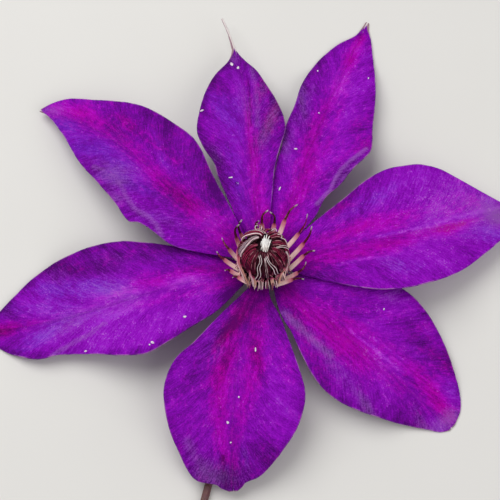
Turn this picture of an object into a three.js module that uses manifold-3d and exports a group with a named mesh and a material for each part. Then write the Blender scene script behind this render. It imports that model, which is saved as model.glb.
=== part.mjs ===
// A large clematis flower as picked, lying face up with its stalk bent out along the surface.
// Lengths are in millimetres and angles in degrees. +Z is up and the surface is at z = 0.
// Azimuths turn from +X towards +Y, so +Y is the flower's back and -Y its front.

import * as THREE from 'three';
import { mergeVertices } from 'three/addons/utils/BufferGeometryUtils.js';
import Module from 'manifold-3d';

const wasm = await Module();
wasm.setup();

// The flower's own axis, placed so that the origin lies under the middle of the whole flower
const flowerX = 3.3;
const flowerY = -7.4;

// The tepals' bases stand this high, on a ring round the receptacle
const baseHeight = 12;
const baseRadius = 5;

// All tepals share one shallow dish near the middle, then arch over towards their tips
const dishRise = 2.2;
const dishReach = 26;
const archStart = 0.7 * dishReach;
const bladeThickness = 0.7;
const bladeSteps = 18;
const bladeShares = [-1, -0.8, -0.55, -0.3, -0.1, 0, 0.1, 0.3, 0.55, 0.8, 1];
const ridgeHeight = 0.3;

// Each tepal: the way it points, how far it reaches from the axis, the sideways bow of its rib,
// its layer above or below its neighbours, the height of its tip, and how its edges lift and wave.
// A landing tepal levels out at its tip and rests there on the surface.
// halfWidths rows are distance from the axis, half width on the left, half width on the right.
const tepals = {
  tepal_back_left: {
    azimuth: 140.8, reach: 85.2, bow: [1.2, -9], layer: 0.9, tipHeight: 2.4,
    edgeLift: [-1.2, 0.6], wave: 1, waveLength: 23, wavePhase: [40, 200],
    halfWidths: [
      [5, 1.9, 1.9], [10, 4.8, 3.8], [20, 11.3, 7.6], [25, 12.9, 9.2], [31, 13.1, 11.4], [34.8, 13.8, 12.9],
      [37, 15.2, 13.7], [43, 14.3, 15.2], [50, 13.4, 15.3], [57, 12, 14.3], [66, 9.7, 11.1], [75, 5.2, 7.8],
      [79.5, 2.5, 5.8], [83, 0.9, 3], [85.2, 0.5, 0.5],
    ],
  },
  tepal_back: {
    azimuth: 98.4, reach: 84.5, bow: [0.9, -6.5], layer: -0.3, tipHeight: 4.5,
    edgeLift: [-0.8, -1.6], wave: 0.7, waveLength: 26, wavePhase: [120, 20],
    halfWidths: [
      [5, 1.9, 1.9], [10, 4, 3.2], [20, 7.1, 5], [28.7, 9.8, 6.4], [33, 10.6, 7.4], [39, 13.5, 9.3],
      [44, 14.9, 10.8], [50, 13.9, 9.9], [58.5, 11.1, 6.6], [64.5, 7.4, 4.4], [68.5, 2.7, 2], [72, 0.9, 0.5],
      [84.5, 0.45, 0.45],
    ],
  },
  tepal_back_right: {
    azimuth: 69.4, reach: 90.4, bow: [0, 2.5], layer: -1.6, tipHeight: 0.1, landing: true,
    edgeLift: [-0.8, 0.8], wave: 0.9, waveLength: 24, wavePhase: [300, 150],
    halfWidths: [
      [5, 1.9, 1.9], [10, 3.4, 4.7], [16, 4.6, 7.2], [20, 5.2, 8.5], [25, 6.2, 9.1], [31, 7.4, 11.6],
      [38, 8, 13.8], [44, 9.2, 16.5], [47, 9.4, 16.7], [54, 9.3, 14.8], [62, 9.9, 13], [71, 8.9, 10.1],
      [79, 5.5, 6.5], [84.9, 1.5, 3.5], [88, 0.9, 1.5], [90.4, 0.8, 0.8],
    ],
  },
  tepal_right: {
    azimuth: 16.1, reach: 76.1, bow: [-1, -3.2], layer: 0.5, tipHeight: 3,
    edgeLift: [0.6, -0.4], wave: 0.9, waveLength: 27, wavePhase: [90, 260],
    halfWidths: [
      [5, 1.9, 1.9], [10, 5.2, 5.6], [20, 10.8, 11], [27, 14.3, 13.6], [35, 18.8, 15.3], [42, 21.1, 15.6],
      [51, 20.4, 14], [59, 17, 11.1], [66, 10.8, 8.1], [72, 4.5, 4.6], [76.1, 0.5, 0.5],
    ],
  },
  tepal_front_right: {
    azimuth: -39.7, reach: 67.5, bow: [-3, 1.5], layer: -1, tipHeight: 0.1, landing: true,
    edgeLift: [0.3, 1], wave: 0.8, waveLength: 22, wavePhase: [180, 30],
    halfWidths: [
      [5, 1.9, 1.9], [9, 6.6, 4.7], [14, 10.2, 7.5], [18, 13, 8.9], [24, 17, 12.1], [30.5, 20.8, 14.9],
      [37, 21.8, 15.5], [45, 20.6, 13.9], [52, 17.3, 11], [58.5, 12.6, 7.5], [63, 9, 4.8], [66, 5.5, 2.9],
      [67.5, 1.4, 0.9],
    ],
  },
  tepal_front: {
    azimuth: -97.7, reach: 62.4, bow: [-5, -4], layer: 0, tipHeight: 3.6,
    edgeLift: [0.5, 1.2], wave: 1.1, waveLength: 17, wavePhase: [60, 250],
    halfWidths: [
      [5, 2, 1.9], [8.5, 4.1, 3.3], [13, 8.3, 5.5], [20, 12.7, 9.4], [26, 16, 13.2], [30, 17.7, 16.9],
      [34.5, 19.1, 18.9], [39, 19.4, 19.2], [46.5, 17.5, 17.3], [52.5, 14.1, 14.3], [57, 10, 11.9],
      [59.4, 6.9, 9.2], [60.4, 3.6, 4.8], [61.4, 2.6, 3.4], [62.4, 1.1, 1.2],
    ],
  },
  tepal_left: {
    azimuth: -169.6, reach: 80.8, bow: [1, 4], layer: -0.9, tipHeight: 0.1, landing: true,
    edgeLift: [0.9, -0.4], wave: 0.9, waveLength: 25, wavePhase: [200, 90],
    halfWidths: [
      [5, 2.6, 1.9], [8.5, 5.1, 4.4], [12, 7.7, 6.2], [16.5, 10.4, 8.8], [24, 12.9, 12.1], [31, 15.1, 15.6],
      [37.5, 16.7, 18.7], [44, 15.3, 19.3], [51, 12.4, 18.8], [59, 10.4, 17.6], [66, 10.5, 14.3],
      [72, 8.2, 9.3], [77, 4.8, 4.6], [80.8, 0.9, 0.9],
    ],
  },
};

// The receptacle, and the stalk that bends under the flower to lie on the surface
const receptacleRadius = 4.7;
const receptacleTop = 14.1;
const receptacleBottom = 8.6;
const stalkRadius = 0.95;
const stalkRest = 1.2;
const stalkBend = 7;
const stalkAzimuth = -104.4;
const stalkReach = 72;

// The disc of filament roots lies over the tepals' bases, and the ball over it leans to the back
const discBase = 14.4;
const discRadius = 7.6;
const discHeight = 1.1;
const ballLean = 6;
const ballHeight = 6.2;
const coreRadius = 6.3;
const coreBottom = 2.1;
const styleHole = 2.1;

// Outer stamens: azimuth of the root, then the heading, the slope, the length of the filament,
// the length of the thin anther, and how far the anther turns to the left and lifts on the way.
const filamentRoot = 6.8;
const filamentHeight = 0.5;
const filamentWidth = 1.4;
const filamentDepth = 0.7;
const antherThread = 0.7;
const outerStamens = [
  [62, 64, 42, 8.4, 5.7, -37, -7],
  [37, 37, 44, 7.8, 6.6, 36, 10],
  [10, 38, 40, 7.6, 5.5, 34, 8],
  [-15, 32, 40, 7.2, 3.3, -30, -20],
  [-44, 12, 38, 6, 4.3, 50, 15],
  [-64, 4, 36, 6.5, 2.9, -17, -36],
  [-123, 164, 33, 4.9, 1.4, 63, -32],
  [-143, 165, 37, 5.5, 1.4, 39, -45],
  [-165, 158, 37, 6.6, 2.8, -32, -9],
  [172, 146, 48, 5.8, 3.7, -28, -21],
  [150, 124, 56, 6.3, 4.1, -77, -28],
  [130, 134, 55, 5.8, 4.3, -78, -25],
  [102, 106, 50, 4.9, 2.4, -63, -60],
  [90, 100, 51, 6.3, 4.3, -62, -32],
  [76, 72, 48, 6.4, 3.7, 65, -34],
];

// Inner stamens: two rings of thick anthers that close over the core
const antherWidth = 1.7;
const antherDepth = 1.1;
const antherRings = [
  { count: 14, radius: 6.75, from: 118, to: 30, twist: 14 },
  { count: 8, radius: 7.25, from: 82, to: 18, twist: 24 },
];

const styleRadius = 1.5;
const styleTop = 14.4;
const styleCount = 7;

const { clamp, degToRad, lerp, smoothstep } = THREE.MathUtils;

// Smooth curve through one column of rows whose first column is the distance
function readRows(rows, distance, column) {
  let i = 0;
  while (i < rows.length - 2 && distance > rows[i + 1][0]) i += 1;
  const [a, b] = [rows[i], rows[i + 1]];
  const [before, after] = [rows[Math.max(i - 1, 0)], rows[Math.min(i + 2, rows.length - 1)]];
  const span = b[0] - a[0];
  const slopeA = ((b[column] - before[column]) / (b[0] - before[0])) * span;
  const slopeB = ((after[column] - a[column]) / (after[0] - a[0])) * span;
  const t = clamp((distance - a[0]) / span, 0, 1);
  return (2 * t ** 3 - 3 * t ** 2 + 1) * a[column] + (t ** 3 - 2 * t ** 2 + t) * slopeA
    + (3 * t ** 2 - 2 * t ** 3) * b[column] + (t ** 3 - t ** 2) * slopeB;
}

// A tepal's middle surface at a distance along it, and a share of its half width, left positive
function tepalPoint(tepal, distance, share) {
  const length = tepal.reach - baseRadius;
  const t = (distance - baseRadius) / length;
  const [near, far] = tepal.bow;
  const sideways = 3 * (1 - t) ** 2 * t * near + 3 * (1 - t) * t ** 2 * far;
  const slope = (3 * (1 - t) * (1 - 3 * t) * near + 3 * t * (2 - 3 * t) * far) / length;
  const across = new THREE.Vector2(-slope, 1).normalize();
  const side = share > 0 ? 0 : 1;
  const offset = share * readRows(tepal.halfWidths, distance, side + 1);
  const point = new THREE.Vector2(distance + across.x * offset, sideways + across.y * offset);
  point.rotateAround(new THREE.Vector2(), degToRad(tepal.azimuth));

  const radius = point.length();
  const along = clamp((radius - archStart) / (tepal.reach - archStart), 0, 1);
  const fall = tepal.landing ? along ** 2 * (3 - 2 * along) : along ** 2;
  const dish = dishRise * Math.sin((Math.PI / 2) * Math.min(radius / dishReach, 1));
  const nearTip = smoothstep(distance, tepal.reach - 14, tepal.reach);
  const loose = smoothstep(distance, 18, 40) * (1 - nearTip);
  const turn = 2 * Math.PI * (distance / tepal.waveLength) + degToRad(tepal.wavePhase[side]);
  const spread = Math.abs(share);
  const edge = tepal.edgeLift[side] * spread ** 1.6 + tepal.wave * spread ** 3 * Math.sin(turn);
  const ridge = ridgeHeight * Math.max(0, 1 - spread / 0.1) * (1 - nearTip);
  const top = baseHeight + dishRise + tepal.layer;
  const height = top - dishRise + dish - (top - tepal.tipHeight) * fall + edge * loose + ridge;
  return new THREE.Vector3(point.x, point.y, Math.max(height, bladeThickness / 2));
}

// A closed blade: two alike faces, one blade thickness apart, joined by a wall all round
function tepalGeometry(tepal) {
  const columns = bladeShares.length;
  const positions = [];
  for (const face of [0.5, -0.5]) {
    for (let i = 0; i <= bladeSteps; i += 1) {
      const distance = lerp(baseRadius, tepal.reach, i / bladeSteps);
      for (const share of bladeShares) {
        const point = tepalPoint(tepal, distance, share);
        positions.push(point.x, point.y, point.z + face * bladeThickness);
      }
    }
  }
  const lower = (bladeSteps + 1) * columns;
  const indices = [];
  const quad = (a, b, c, d) => indices.push(a, b, c, a, c, d);
  for (let i = 0; i < bladeSteps; i += 1) {
    for (let j = 0; j < columns - 1; j += 1) {
      const a = i * columns + j;
      const [b, c, d] = [a + columns, a + columns + 1, a + 1];
      indices.push(a, b, c, a, c, d);
      indices.push(lower + a, lower + c, lower + b, lower + a, lower + d, lower + c);
    }
    const [right, left] = [i * columns, (i + 1) * columns - 1];
    quad(right, lower + right, lower + right + columns, right + columns);
    quad(left, left + columns, lower + left + columns, lower + left);
  }
  for (let j = 0; j < columns - 1; j += 1) {
    const tip = bladeSteps * columns + j;
    quad(j, j + 1, lower + j + 1, lower + j);
    quad(tip, lower + tip, lower + tip + 1, tip + 1);
  }
  const geometry = new THREE.BufferGeometry();
  geometry.setAttribute('position', new THREE.Float32BufferAttribute(positions, 3));
  geometry.setIndex(indices);
  geometry.computeVertexNormals();
  return geometry;
}

// A closed sweep along a curve. sizeAt gives the width along side, and the depth
function sweepGeometry(curve, steps, corners, side, sizeAt) {
  const positions = [];
  const stretch = corners === 4 ? Math.SQRT1_2 : 0.5;
  for (let i = 0; i <= steps; i += 1) {
    const centre = curve.getPoint(i / steps);
    const tangent = curve.getTangent(i / steps);
    const normal = tangent.clone().cross(side).normalize();
    const across = normal.clone().cross(tangent);
    const [width, depth] = sizeAt(i / steps);
    for (let k = 0; k < corners; k += 1) {
      const angle = (2 * Math.PI * (k + 0.5)) / corners;
      const point = centre.clone()
        .addScaledVector(across, stretch * width * Math.cos(angle))
        .addScaledVector(normal, stretch * depth * Math.sin(angle));
      positions.push(...point);
    }
  }
  const indices = [];
  for (let i = 0; i < steps; i += 1) {
    for (let k = 0; k < corners; k += 1) {
      const [a, b] = [i * corners + k, i * corners + ((k + 1) % corners)];
      indices.push(a, b, b + corners, a, b + corners, a + corners);
    }
  }
  const last = steps * corners;
  for (let k = 1; k < corners - 1; k += 1) {
    indices.push(0, k + 1, k);
    indices.push(last, last + k, last + k + 1);
  }
  const geometry = new THREE.BufferGeometry();
  geometry.setAttribute('position', new THREE.Float32BufferAttribute(positions, 3));
  geometry.setIndex(indices);
  return geometry;
}

// A profile of [radius, height] points turned round +Z
function turnedGeometry(profile, segments) {
  const points = profile.map(([radius, height]) => new THREE.Vector2(radius, height));
  return new THREE.LatheGeometry(points, segments).rotateX(Math.PI / 2);
}

function toSolid(geometry) {
  const bare = new THREE.BufferGeometry();
  bare.setAttribute('position', geometry.getAttribute('position'));
  bare.setIndex(geometry.index);
  const merged = mergeVertices(bare, 1e-4);
  const corners = Array.from(merged.index.array);
  const triangles = [];
  for (let i = 0; i < corners.length; i += 3) {
    const [a, b, c] = corners.slice(i, i + 3);
    if (a !== b && b !== c && c !== a) triangles.push(a, b, c);
  }
  const vertProperties = new Float32Array(merged.getAttribute('position').array);
  return new wasm.Manifold(new wasm.Mesh({ numProp: 3, vertProperties, triVerts: new Uint32Array(triangles) }));
}

function toGeometry(solid) {
  const mesh = solid.getMesh();
  const geometry = new THREE.BufferGeometry();
  geometry.setAttribute('position', new THREE.BufferAttribute(new Float32Array(mesh.vertProperties), 3));
  geometry.setIndex(new THREE.BufferAttribute(new Uint32Array(mesh.triVerts), 1));
  geometry.computeVertexNormals();
  return geometry;
}

function join(geometries) {
  return geometries.map(toSolid).reduce((whole, next) => whole.add(next));
}

function direction(azimuth, slope) {
  const flat = Math.cos(degToRad(slope));
  return new THREE.Vector3(
    flat * Math.cos(degToRad(azimuth)),
    flat * Math.sin(degToRad(azimuth)),
    Math.sin(degToRad(slope)),
  );
}

// The receptacle is a rounded knob that narrows into the stalk below it
function stemGeometry() {
  const knob = turnedGeometry([
    [0, receptacleBottom - 2.4], [0.9, receptacleBottom - 2.4], [1.5, receptacleBottom - 0.9],
    [3.1, receptacleBottom + 0.3], [4.3, receptacleBottom + 1.3], [receptacleRadius, receptacleBottom + 2.4],
    [receptacleRadius, receptacleTop - 0.4], [4.3, receptacleTop], [0, receptacleTop],
  ], 24);
  const out = direction(stalkAzimuth, 0);
  const side = new THREE.Vector3(0, 0, 1).cross(out);
  const at = (reach, height) => out.clone().multiplyScalar(reach).setZ(height);
  const elbow = at(stalkBend, stalkRest + 0.3);
  const bend = new THREE.QuadraticBezierCurve3(at(0, receptacleBottom - 1), at(0.4, stalkRest + 0.6), elbow);
  const run = new THREE.LineCurve3(elbow, at(stalkReach, stalkRest));
  const thickness = () => [2 * stalkRadius, 2 * stalkRadius];
  return toGeometry(join([
    knob,
    sweepGeometry(bend, 8, 10, side, thickness),
    new THREE.SphereGeometry(stalkRadius, 10, 8).translate(...elbow),
    sweepGeometry(run, 1, 10, side, thickness),
  ]));
}

// The disc of filament roots, with the outer stamens standing out of it all round
function outerStamenGeometry() {
  const disc = turnedGeometry([
    [0, 0], [discRadius - 0.6, 0], [discRadius, 0.4], [discRadius - 0.3, 0.9],
    [discRadius - 0.9, discHeight], [0, discHeight],
  ], 28);
  const stamens = outerStamens.map(([root, heading, slope, filament, anther, turn, lift]) => {
    const start = direction(root, 0).multiplyScalar(filamentRoot).setZ(filamentHeight);
    const end = start.clone().addScaledVector(direction(heading, slope), filament);
    const middle = end.clone().addScaledVector(direction(heading + turn / 3, slope + lift / 3), anther / 2);
    const tip = middle.clone().addScaledVector(direction(heading + turn, slope + lift), anther / 2);
    const route = new THREE.CatmullRomCurve3([start, start.clone().lerp(end, 0.5), end, middle, tip]);
    const side = new THREE.Vector3(0, 0, 1).cross(direction(heading, 0));
    return sweepGeometry(route, 8, 4, side, (t) => {
      const neck = smoothstep(t, 0.45, 0.65);
      return [lerp(filamentWidth, antherThread, neck), lerp(filamentDepth, antherThread, neck)];
    });
  });
  return toGeometry(join([disc, ...stamens]));
}

// The closed ball of inner stamens: a core with thick anthers raised from it, open in the middle
function innerStamenGeometry() {
  const lowest = 180 - THREE.MathUtils.radToDeg(Math.acos((ballHeight - coreBottom) / coreRadius));
  const rim = Array.from({ length: 8 }, (_, i) => {
    const angle = degToRad(lerp(lowest, 0, i / 7));
    return [coreRadius * Math.sin(angle), ballHeight + coreRadius * Math.cos(angle)];
  });
  const core = turnedGeometry([[0, coreBottom], ...rim], 24);
  const anthers = antherRings.flatMap(({ count, radius, from, to, twist }, ring) => (
    Array.from({ length: count }, (_, k) => {
      const azimuth = (360 * (k + 0.5 * ring)) / count;
      const points = Array.from({ length: 6 }, (_, i) => {
        const t = i / 5;
        const reach = radius * (1 - 0.06 * (2 * t - 1) ** 2);
        return direction(azimuth + twist * t, 90 - lerp(from, to, t)).multiplyScalar(reach)
          .add(new THREE.Vector3(0, 0, ballHeight));
      });
      const side = direction(azimuth + 90 + twist / 2, 0);
      return sweepGeometry(new THREE.CatmullRomCurve3(points), 6, 4, side, (t) => (
        [antherWidth * (1 - 0.45 * t), antherDepth]
      ));
    })
  ));
  const below = turnedGeometry([[0, coreBottom - 6], [20, coreBottom - 6], [20, coreBottom], [0, coreBottom]], 12);
  const hole = turnedGeometry([[0, 0], [styleHole, 0], [styleHole, 20], [0, 20]], 16);
  return toGeometry(join([core, ...anthers]).subtract(toSolid(below)).subtract(toSolid(hole)));
}

// The tuft of styles on its column of ovaries, inside the ball
function styleGeometry() {
  const base = discHeight + 0.45;
  const shoulder = ballHeight + 3;
  const column = turnedGeometry([
    [0, base], [styleRadius, base], [styleRadius, ballHeight], [0.9, shoulder], [0, shoulder],
  ], 12);
  const styles = Array.from({ length: styleCount }, (_, k) => {
    const azimuth = (360 * k) / (styleCount - 1);
    const middle = k === styleCount - 1;
    const spread = middle ? 0.1 : styleRadius - 0.35;
    const top = middle ? styleTop : styleTop - 0.5 - 0.35 * (k % 3);
    const points = [[0.3, ballHeight + 1], [0.6, ballHeight + 4], [1, top]];
    const route = points.map(([share, height]) => direction(azimuth, 0).multiplyScalar(share * spread).setZ(height));
    const side = direction(azimuth + 90, 0);
    return sweepGeometry(new THREE.CatmullRomCurve3(route), 4, 6, side, (t) => [1.24 - 0.44 * t, 1.24 - 0.44 * t]);
  });
  return toGeometry(join([column, ...styles]));
}

function addMesh(group, name, geometry, color, roughness) {
  const mesh = new THREE.Mesh(geometry, new THREE.MeshStandardMaterial({ color, roughness, metalness: 0 }));
  mesh.name = name;
  group.add(mesh);
}

const flower = new THREE.Group();
flower.position.set(flowerX, flowerY, 0);
for (const [name, tepal] of Object.entries(tepals)) addMesh(flower, name, tepalGeometry(tepal), 0x7a0fb0, 0.55);
addMesh(flower, 'stem', stemGeometry(), 0x6b3a3c, 0.6);

const boss = new THREE.Group();
boss.position.z = discBase;
addMesh(boss, 'stamens_outer', outerStamenGeometry(), 0xe6b9b4, 0.6);
flower.add(boss);

const ball = new THREE.Group();
ball.rotation.x = -degToRad(ballLean);
addMesh(ball, 'stamens_inner', innerStamenGeometry(), 0x4a0f22, 0.5);
addMesh(ball, 'styles', styleGeometry(), 0xf0f2e2, 0.6);
boss.add(ball);

export default flower;
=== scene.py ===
# A large clematis flower as picked, lying face up on a pale floor with its short stalk bent out.
# The dictionaries hold millimetres and degrees, and colours as 0 to 255. Blender itself gets metres.
import math
import random

import bpy
from mathutils import Matrix, Vector, noise


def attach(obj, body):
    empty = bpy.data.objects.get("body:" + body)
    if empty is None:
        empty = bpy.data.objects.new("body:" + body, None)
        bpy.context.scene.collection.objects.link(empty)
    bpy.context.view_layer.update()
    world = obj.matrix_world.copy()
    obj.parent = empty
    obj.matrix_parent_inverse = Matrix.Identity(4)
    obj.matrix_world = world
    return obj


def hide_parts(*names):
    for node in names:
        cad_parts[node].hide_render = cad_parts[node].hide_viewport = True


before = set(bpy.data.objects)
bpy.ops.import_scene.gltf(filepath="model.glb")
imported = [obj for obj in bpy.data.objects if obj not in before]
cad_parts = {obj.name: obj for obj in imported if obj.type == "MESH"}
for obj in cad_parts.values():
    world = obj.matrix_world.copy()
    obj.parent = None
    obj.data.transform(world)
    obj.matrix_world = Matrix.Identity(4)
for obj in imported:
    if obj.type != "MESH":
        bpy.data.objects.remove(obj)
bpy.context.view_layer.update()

mm = 0.001

# The flower's own axis stands here, and the boss of stamens stands on the tepals' bases
flower = {
    "x": 3.3,
    "y": -7.4,
    "baseHeight": 12,
    "baseRadius": 5,
    "dishRise": 2.2,
    "dishReach": 26,
    "archStart": 18.2,
    "bossHeight": 14.4,
    "ballHeight": 6.2,
    "ballLean": 6,
    "ballShift": (-0.35, -0.15, 0),
}
flowerPlace = Matrix.Translation((flower["x"], flower["y"], 0))
bossPlace = flowerPlace @ Matrix.Translation((0, 0, flower["bossHeight"]))
ballPlace = bossPlace @ Matrix.Translation(flower["ballShift"])
ballPlace = ballPlace @ Matrix.Rotation(math.radians(-flower["ballLean"]), 4, "X")


def smoothStep(value, low, high):
    t = min(max((value - low) / (high - low), 0), 1)
    return t * t * (3 - 2 * t)


def mixed(a, b, share):
    return a + (b - a) * share


def direction(azimuth, slope):
    a, s = math.radians(azimuth), math.radians(slope)
    return Vector((math.cos(s) * math.cos(a), math.cos(s) * math.sin(a), math.sin(s)))


def upBy(height):
    return Vector((0, 0, height))


# Mesh helpers

def deselectAll():
    bpy.ops.object.select_all(action="DESELECT")


def selectOnly(piece):
    deselectAll()
    piece.select_set(True)
    bpy.context.view_layer.objects.active = piece


def nameActive(name):
    # the active object is the one that was added or joined last
    piece = bpy.context.object
    piece.name = name
    return piece


def addGrid(name, cellsAlong, cellsAcross):
    # a flat grid from -1 to 1 both ways, for bending or rolling into a piece
    deselectAll()
    bpy.ops.mesh.primitive_grid_add(x_subdivisions=cellsAlong, y_subdivisions=cellsAcross, size=2)
    return nameActive(name)


def closeSeams(piece, gap):
    # merges what meets, then turns the faces outwards
    selectOnly(piece)
    bpy.ops.object.mode_set(mode="EDIT")
    bpy.ops.mesh.select_all(action="SELECT")
    bpy.ops.mesh.remove_doubles(threshold=gap)
    bpy.ops.mesh.normals_make_consistent(inside=False)
    bpy.ops.object.mode_set(mode="OBJECT")


def setAttribute(piece, name, values):
    layer = piece.data.attributes.new(name, "FLOAT", "POINT")
    layer.data.foreach_set("value", values)


def applyModifier(piece, kind, **settings):
    selectOnly(piece)
    modifier = piece.modifiers.new(kind.title(), kind)
    for key, value in settings.items():
        setattr(modifier, key, value)
    bpy.ops.object.modifier_apply(modifier=modifier.name)


def joinPieces(pieces, name):
    selectOnly(pieces[0])
    for piece in pieces:
        piece.select_set(True)
    bpy.ops.object.join()
    bpy.ops.object.shade_smooth()
    return nameActive(name)


def finishPiece(piece, materials, slot, *nodes):
    for material in materials:
        piece.data.materials.append(material)
    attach(piece, "root")
    if nodes:
        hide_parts(*nodes)


# Material helpers

def paint(red, green, blue):
    def linear(level):
        share = level / 255
        return share / 12.92 if share <= 0.04045 else ((share + 0.055) / 1.055) ** 2.4
    return (linear(red), linear(green), linear(blue), 1)


def feed(tree, socket, value):
    if isinstance(value, bpy.types.NodeSocket):
        tree.links.new(value, socket)
    else:
        socket.default_value = value


def mathNode(tree, operation, a, b=0.0):
    node = tree.nodes.new("ShaderNodeMath")
    node.operation = operation
    feed(tree, node.inputs[0], a)
    feed(tree, node.inputs[1], b)
    return node.outputs[0]


def times(tree, a, b):
    return mathNode(tree, "MULTIPLY", a, b)


def absolute(tree, value):
    return mathNode(tree, "ABSOLUTE", value)


def sumNodes(tree, start, parts):
    # adds each value, measured from its own middle and times its own share, to the start
    total = start
    for value, middle, share in parts:
        part = times(tree, mathNode(tree, "SUBTRACT", value, middle), share)
        total = mathNode(tree, "ADD", part, total)
    return total


def mixNode(tree, mask, a, b):
    node = tree.nodes.new("ShaderNodeMix")
    node.data_type = "RGBA"
    feed(tree, node.inputs[0], mask)
    feed(tree, node.inputs[6], a)
    feed(tree, node.inputs[7], b)
    return node.outputs[2]


def rangeNode(tree, value, low, high, start=0.0, end=1.0):
    node = tree.nodes.new("ShaderNodeMapRange")
    node.interpolation_type = "SMOOTHSTEP"
    feed(tree, node.inputs["Value"], value)
    node.inputs["From Min"].default_value = low
    node.inputs["From Max"].default_value = high
    node.inputs["To Min"].default_value = start
    node.inputs["To Max"].default_value = end
    return node.outputs[0]


def rampNode(tree, value, stops):
    node = tree.nodes.new("ShaderNodeValToRGB")
    feed(tree, node.inputs[0], value)
    points = node.color_ramp.elements
    while len(points) < len(stops):
        points.new(0.5)
    for point, (place, colour) in zip(points, stops):
        point.position = place
        point.color = paint(*colour)
    return node.outputs[0]


def layPaints(tree, colour, paints, layers, masks):
    # A layer is a paint and the mask that lays it over the colour. Levels after them are where the
    # mask starts and ends, and how much of the paint there is at either end.
    for key, mask, *levels in layers:
        share = rangeNode(tree, masks[mask], *levels) if levels else masks[mask]
        colour = mixNode(tree, share, colour, paints[key])
    return colour


def attributeNode(tree, name):
    node = tree.nodes.new("ShaderNodeAttribute")
    node.attribute_name = name
    return node.outputs["Fac"]


def attributeNodes(tree, *names):
    return [attributeNode(tree, name) for name in names]


def vectorNode(tree, *parts):
    # a vector of three values, each times its own scale
    node = tree.nodes.new("ShaderNodeCombineXYZ")
    for socket, (value, scale) in zip(node.inputs, parts):
        feed(tree, socket, times(tree, value, scale))
    return node.outputs[0]


def noiseNode(tree, vector, scale, detail=2.0, roughness=0.5):
    node = tree.nodes.new("ShaderNodeTexNoise")
    feed(tree, node.inputs["Vector"], vector)
    node.inputs["Scale"].default_value = scale
    node.inputs["Detail"].default_value = detail
    node.inputs["Roughness"].default_value = roughness
    return node.outputs[0]


def evenNoise(tree, vector):
    # noise with cells one unit wide, drawn out to fill the way from 0 to 1
    return rangeNode(tree, noiseNode(tree, vector, 1, 3, 0.6), 0.3, 0.7)


def objectCoordinates(tree):
    return tree.nodes.new("ShaderNodeTexCoord").outputs["Object"]


def newGroup(name, inputs, outputs):
    group = bpy.data.node_groups.new(name, "ShaderNodeTree")
    for socketName, value in inputs.items():
        socket = group.interface.new_socket(socketName, in_out="INPUT", socket_type="NodeSocketFloat")
        socket.default_value = value
    for socketName in outputs:
        group.interface.new_socket(socketName, in_out="OUTPUT", socket_type="NodeSocketFloat")
    return group, group.nodes.new("NodeGroupInput").outputs, group.nodes.new("NodeGroupOutput").inputs


def placeGroup(tree, group, **values):
    node = tree.nodes.new("ShaderNodeGroup")
    node.node_tree = group
    for key, value in values.items():
        feed(tree, node.inputs[key], value)
    return node.outputs


def placeGrain(tree, grainSize, blotchSize):
    return placeGroup(tree, grainGroup, **{"Grain Size": grainSize, "Blotch Size": blotchSize})


def newMaterial(name, roughness):
    material = bpy.data.materials.new(name)
    material.use_nodes = True
    tree = material.node_tree
    shader = tree.nodes["Principled BSDF"]
    shader.inputs["Roughness"].default_value = roughness
    return material, tree, shader


def addBump(tree, shader, height, strength, depth):
    bump = tree.nodes.new("ShaderNodeBump")
    bump.inputs["Strength"].default_value = strength
    bump.inputs["Distance"].default_value = depth * mm
    tree.links.new(height, bump.inputs["Height"])
    tree.links.new(bump.outputs["Normal"], shader.inputs["Normal"])


# Streaks that run along a rib, by its Across, and streaks that fan forward from it to the margins, by
# its Fan. Each has a count of streaks to a millimetre across, and of changes to a millimetre along.
streakSizes = {
    "Fan Streak": ("Fan", 1.3, 0.22),
    "Fine Streak": ("Fan", 1.9, 0.6),
    "Slow Patch": ("Fan", 0.2, 0.1),
    "Rib Streak": ("Across", 1.1, 0.18),
}


def buildStreakGroup():
    inputs = {"Along": 0, "Across": 0, "Fan": 0, "Seed": 0}
    group, given, result = newGroup("petalStreaks", inputs, streakSizes)
    for name, (way, count, changes) in streakSizes.items():
        place = vectorNode(group, (given[way], count), (given["Along"], changes), (given["Seed"], 1))
        group.links.new(evenNoise(group, place), result[name])
    return group


# Cell-sized grain and broad blotches on Object coordinates, with their sizes where none are given
grainSizes = {"Grain Size": 0.4, "Blotch Size": 8}


def buildGrainGroup():
    group, given, result = newGroup("softGrain", grainSizes, ["Grain", "Blotch"])
    place = objectCoordinates(group)
    for name in ("Grain", "Blotch"):
        scaled = group.nodes.new("ShaderNodeVectorMath")
        scaled.operation = "SCALE"
        group.links.new(place, scaled.inputs[0])
        feed(group, scaled.inputs["Scale"], mathNode(group, "DIVIDE", 1 / mm, given[name + " Size"]))
        group.links.new(evenNoise(group, scaled.outputs[0]), result[name])
    return group


streakGroup = buildStreakGroup()
grainGroup = buildGrainGroup()
print("shared effects ready")


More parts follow.
